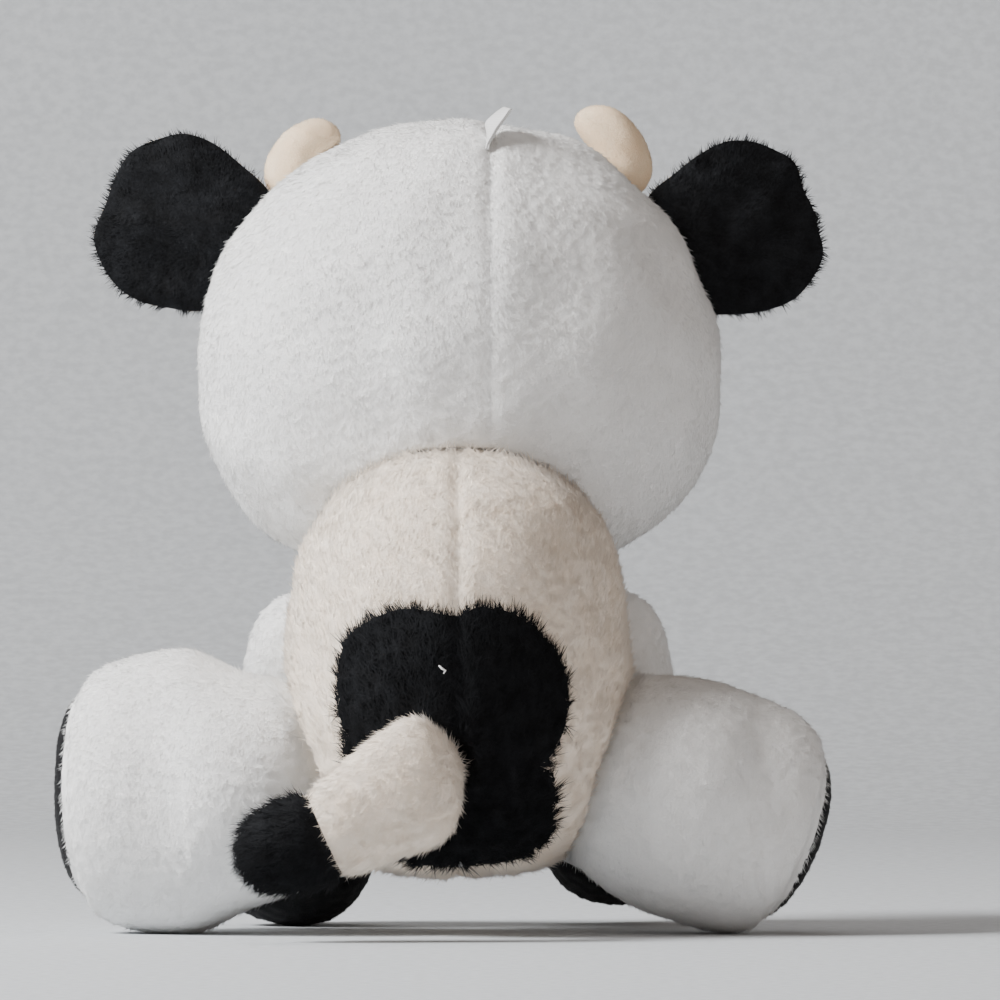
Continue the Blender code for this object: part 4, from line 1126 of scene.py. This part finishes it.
def make_ear(label, side, head_tree):
    along = JOINT_AXES["ear_seam_" + label].cross(Y_AXIS).normalized()
    if along.x * side < 0:
        along = -along
    sweep = math.radians(EAR_SWEEP_DEG)
    along = (along * math.cos(sweep) + Y_AXIS * math.sin(sweep)).normalized()
    across = along.cross(Y_AXIS).normalized()
    front = across.cross(along).normalized()
    if front.y < 0:
        front = -front
    root = JOINT_PLACES["ear_seam_" + label] - along * EAR_HINGE_REACH
    rings = [(root + along * EAR_LENGTH * share, across * EAR_WIDTH / 2 * width,
              front * EAR_THICKNESS / 2 * thickness) for share, width, thickness in EAR_RING_SHARES]
    lobe = smooth_form(rings, LIMB_SIDES)
    flow = from_point(root + along * EAR_LENGTH * EAR_WHORL_SHARE)

    def height_of(spots):
        return (spots - np.array(root)) @ np.array(front)

    for name, finish, pile, sign, replaced in (
            ("ear_fur_", BLACK, EAR_PILE, -1, "ear_back_"),
            ("ear_velour_", PEACH, VELOUR_PILE, 1, "ear_lining_")):
        form = lobe.copy()
        places = shaped(form, FUR_RING_ROOM, SEEDS["ear"] + side, EAR_LUMPS)
        seat_on(places, head_tree, along, -EAR_ROOM)
        behind = np.minimum(height_of(places) * sign, 0.0) * sign
        places -= np.outer(behind - sign * EAR_SPLIT_GAP, np.array(front))
        set_places(form, places)
        outer = height_of(face_middles(form)) * sign > EAR_FACE_LIFT
        grown = hairs(part_of(form, outer), pile, flow, SEEDS["ear_fur"] + side)
        piece = add_grown(name + label, form, normals_of(form), grown, finish, "ear_" + label,
                          replaced + label)


# Horns

def make_horn(label, side, head_tree):
    height = HORN_HEIGHTS[label]
    base = HEAD_BASE + Vector((side * HORN_X, HORN_AHEAD, HEAD_HEIGHT - HORN_BELOW_TOP))
    centres = []
    for lean_share, height_share in HORN_PATH_SHARES:
        centres.append(base + Vector((-side * HORN_LEAN * lean_share, 0, height * height_share)))
    rings = []
    for index, centre in enumerate(centres):
        before = centres[max(index - 1, 0)]
        after = centres[min(index + 1, len(centres) - 1)]
        tangent = (after - before).normalized()
        radius = HORN_RADIUS * HORN_TAPER_SHARES[index]
        rings.append((centre, Y_AXIS * radius, tangent.cross(Y_AXIS) * radius))
    form = smooth_form(rings, SMALL_SIDES)
    seed = SEEDS["horn"] + side
    core = seated(form, seed, HORN_LUMPS, head_tree, Z_AXIS)
    horn = furred("horn_velour_" + label, form, VELOUR_PILE, along_axis(Z_AXIS), PEACH, "head",
                  "horn_skin_" + label, seed + SEED_STEP, thickness=HORN_SKIN)
    stuffing("horn_stuffing_" + label, core, SKIN, "head", seed + 2 * SEED_STEP, (head_tree, Z_AXIS))


# Hanging loop

def make_loop(head_tree):
    """A ribbon folded over and twisted, its two ends in the head's seam."""
    root, _, _, _ = head_tree.ray_cast(Vector((LOOP_X, -HUGE, LOOP_Z)), Y_AXIS)
    shape = bmesh.new()
    rows = []
    for back in (-1, 1):
        listed = LOOP_ROWS if back < 0 else list(reversed(LOOP_ROWS))
        for aside, rise, half_x, half_z in listed:
            share = max(rise, 0.0) / LOOP_ROWS[-1][1]
            spread = LOOP_SPREAD * math.sin(math.pi * min(share, 1.0)) * back + LOOP_ROOT * share
            middle = root + Vector((aside + LOOP_ASIDE * (back + 1) / 2, spread, rise))
            depth = math.sqrt(RIBBON_HALF_WIDTH ** 2 - half_x ** 2 - half_z ** 2)
            half = Vector((half_x, -depth, half_z))
            rows.append([shape.verts.new(middle + half * (2.0 * strip / RIBBON_STRIPS - 1.0))
                         for strip in range(RIBBON_STRIPS + 1)])
    for lower, upper in zip(rows, rows[1:]):
        for strip in range(RIBBON_STRIPS):
            shape.faces.new((lower[strip], upper[strip], upper[strip + 1], lower[strip + 1]))
    ribbon = with_modifier(mesh_from(shape, "ribbon"), 'SUBSURF', levels=RIBBON_LEVELS)
    ribbon = with_modifier(ribbon, 'SOLIDIFY', thickness=RIBBON, offset=0.0)
    add_piece("ribbon_loop", ribbon, RIBBON_CLOTH, "head", "hanging_loop")


# Limbs

def make_limb(names, replaced, rings, sides, axis, seam, flow, piles, finishes, body, seed, cover, soft=True):
    """A sleeve and its cap, with the seam between them pulled in, and the stuffing."""
    form = smooth_form(rings, sides, soft)
    if soft:
        form = with_modifier(form, 'SMOOTH', factor=SMOOTHING_FACTOR, iterations=LIMB_SMOOTHING)
    form = split_at(form, seam, axis)
    places = shaped(form, FUR_ROOM, seed, LIMB_LUMPS, [(seam, axis)])
    if soft:
        flatten_floor(places)
    set_places(form, places)
    keep_skin_normals(form)
    beyond = (face_middles(form) - np.array(seam)) @ np.array(axis) > 0
    sleeve = furred(names[0], part_of(form, ~beyond), piles[0], flow, finishes[0], body, replaced[0],
                    seed + 1, cover)
    cap = furred(names[1], part_of(form, beyond), piles[1], flow, finishes[1], body, replaced[1], seed + 2)
    stuffing(names[2], form, SKIN + FILL_GAP, body, seed + 3)


LEGS = (("front_leg_", "front_hoof_", front_leg), ("hind_leg_", "hind_sole_", hind_leg))


def make_limbs(body_tree):
    cover = covered([body_tree])
    for label, side in SIDES:
        for leg, end, form_of in LEGS:
            rings, axis, seam, flow = form_of(label, side)
            names = (leg + "fur_" + label, end + "velour_" + label, leg + "stuffing_" + label)
            make_limb(names, (leg + "skin_" + label, end + label), rings, LIMB_SIDES, axis, seam, flow,
                      (WHITE_PILE, VELOUR_PILE), (WHITE, SOLE), leg + label,
                      LIMB_SEEDS[leg] + SEED_STEP * side, cover)


def make_tail(body_tree):
    rings, along, seam = tail_rings()
    make_limb(("tail_fur", "tuft_fur", "tail_stuffing"), ("tail_sleeve", "tail_tuft"), rings, SMALL_SIDES,
              along, seam, along_axis(along), (BODY_PILE, BLACK_PILE), (CREAM, BLACK), "tail",
              LIMB_SEEDS["tail"], covered([body_tree]), soft=False)


# Stage, light and camera: the backdrop ends low, so that the toy can be seen from its front too

STAGE_REACH = 3.0
STAGE_BEND_AT = 1.0
STAGE_BEND_RADIUS = 0.8
STAGE_TURN_DEG = 58.0
STAGE_STEPS = 8
LIGHT_TARGET = (0.0, 0.0, 0.13)
WORLD_COLOUR = (1.0, 0.90, 0.83, 1)
WORLD_STRENGTH = 0.22


def make_stage():
    """A pale floor that curves up into a pale backdrop."""
    shape = bmesh.new()
    path = [(-STAGE_REACH, 0.0), (STAGE_BEND_AT, 0.0)]
    for step in range(1, STAGE_STEPS + 1):
        angle = math.radians(STAGE_TURN_DEG) * step / STAGE_STEPS
        path.append((STAGE_BEND_AT + STAGE_BEND_RADIUS * math.sin(angle),
                     STAGE_BEND_RADIUS - STAGE_BEND_RADIUS * math.cos(angle)))
    rows = [[shape.verts.new((x, y, z)) for x in (-STAGE_REACH, STAGE_REACH)] for y, z in path]
    for lower, upper in zip(rows, rows[1:]):
        shape.faces.new((lower[0], lower[1], upper[1], upper[0]))
    mesh = mesh_from(shape, "floor")
    mesh.shade_smooth()
    mesh.materials.append(plain("floor_paper", *FLOOR_LOOKS))
    floor = add_object("floor", mesh)


def add_light(name, place, power, size, colour=(1, 1, 1)):
    lamp = bpy.data.lights.new(name, 'AREA')
    lamp.energy = power
    lamp.shape = 'DISK'
    lamp.size = size
    lamp.color = colour
    holder = add_object(name, lamp)
    holder.location = place
    holder.rotation_euler = (Vector(LIGHT_TARGET) - Vector(place)).to_track_quat('-Z', 'Y').to_euler()


def make_light():
    add_light("key_light", place=(-1.45, -0.55, 1.30), power=74.0, size=0.8)
    add_light("fill_light", place=(1.2, -1.6, 0.6), power=5.0, size=1.0, colour=(1.0, 0.86, 0.76))
    add_light("top_light", place=(-0.3, 0.6, 1.8), power=6.0, size=1.0)
    world = bpy.data.worlds.new("studio")
    world.use_nodes = True
    set_inputs(world.node_tree.nodes["Background"], {"Color": WORLD_COLOUR, "Strength": WORLD_STRENGTH})
    bpy.context.scene.world = world


VIEW_TARGET = Vector((0.0170, 0.0, 0.1296))
VIEW_DISTANCE = 8.0
VIEW_ELEVATION_DEG = 1.0
VIEW_WIDTH = 0.300
SENSOR = 36.0


def make_camera():
    lens = bpy.data.cameras.new("camera")
    lens.sensor_width = SENSOR
    lens.lens = SENSOR * VIEW_DISTANCE / VIEW_WIDTH
    camera = add_object("camera", lens)
    rise = math.radians(VIEW_ELEVATION_DEG)
    camera.location = VIEW_TARGET + VIEW_DISTANCE * Vector((0, -math.cos(rise), math.sin(rise)))
    camera.rotation_euler = (VIEW_TARGET - camera.location).to_track_quat('-Z', 'Y').to_euler()
    bpy.context.scene.camera = camera


# The scene

def make_scene():
    make_camera()
    body_tree = bvh_of(smooth_form(body_rings(), BIG_SIDES))
    make_body(bvh_of(smooth_form(head_rings(), BIG_SIDES)))
    head_tree = bvh_of(make_head())
    make_muzzle(head_tree)
    for label, side in SIDES:
        make_eye(label, side)
        make_ear(label, side, head_tree)
        make_horn(label, side, head_tree)
        washer = bpy.data.objects["eye_washer_" + label]
        for place in washer.material_slots:
            place.material = WASHER
    make_loop(head_tree)
    make_limbs(body_tree)
    make_tail(body_tree)
    make_stage()
    make_light()


make_scene()
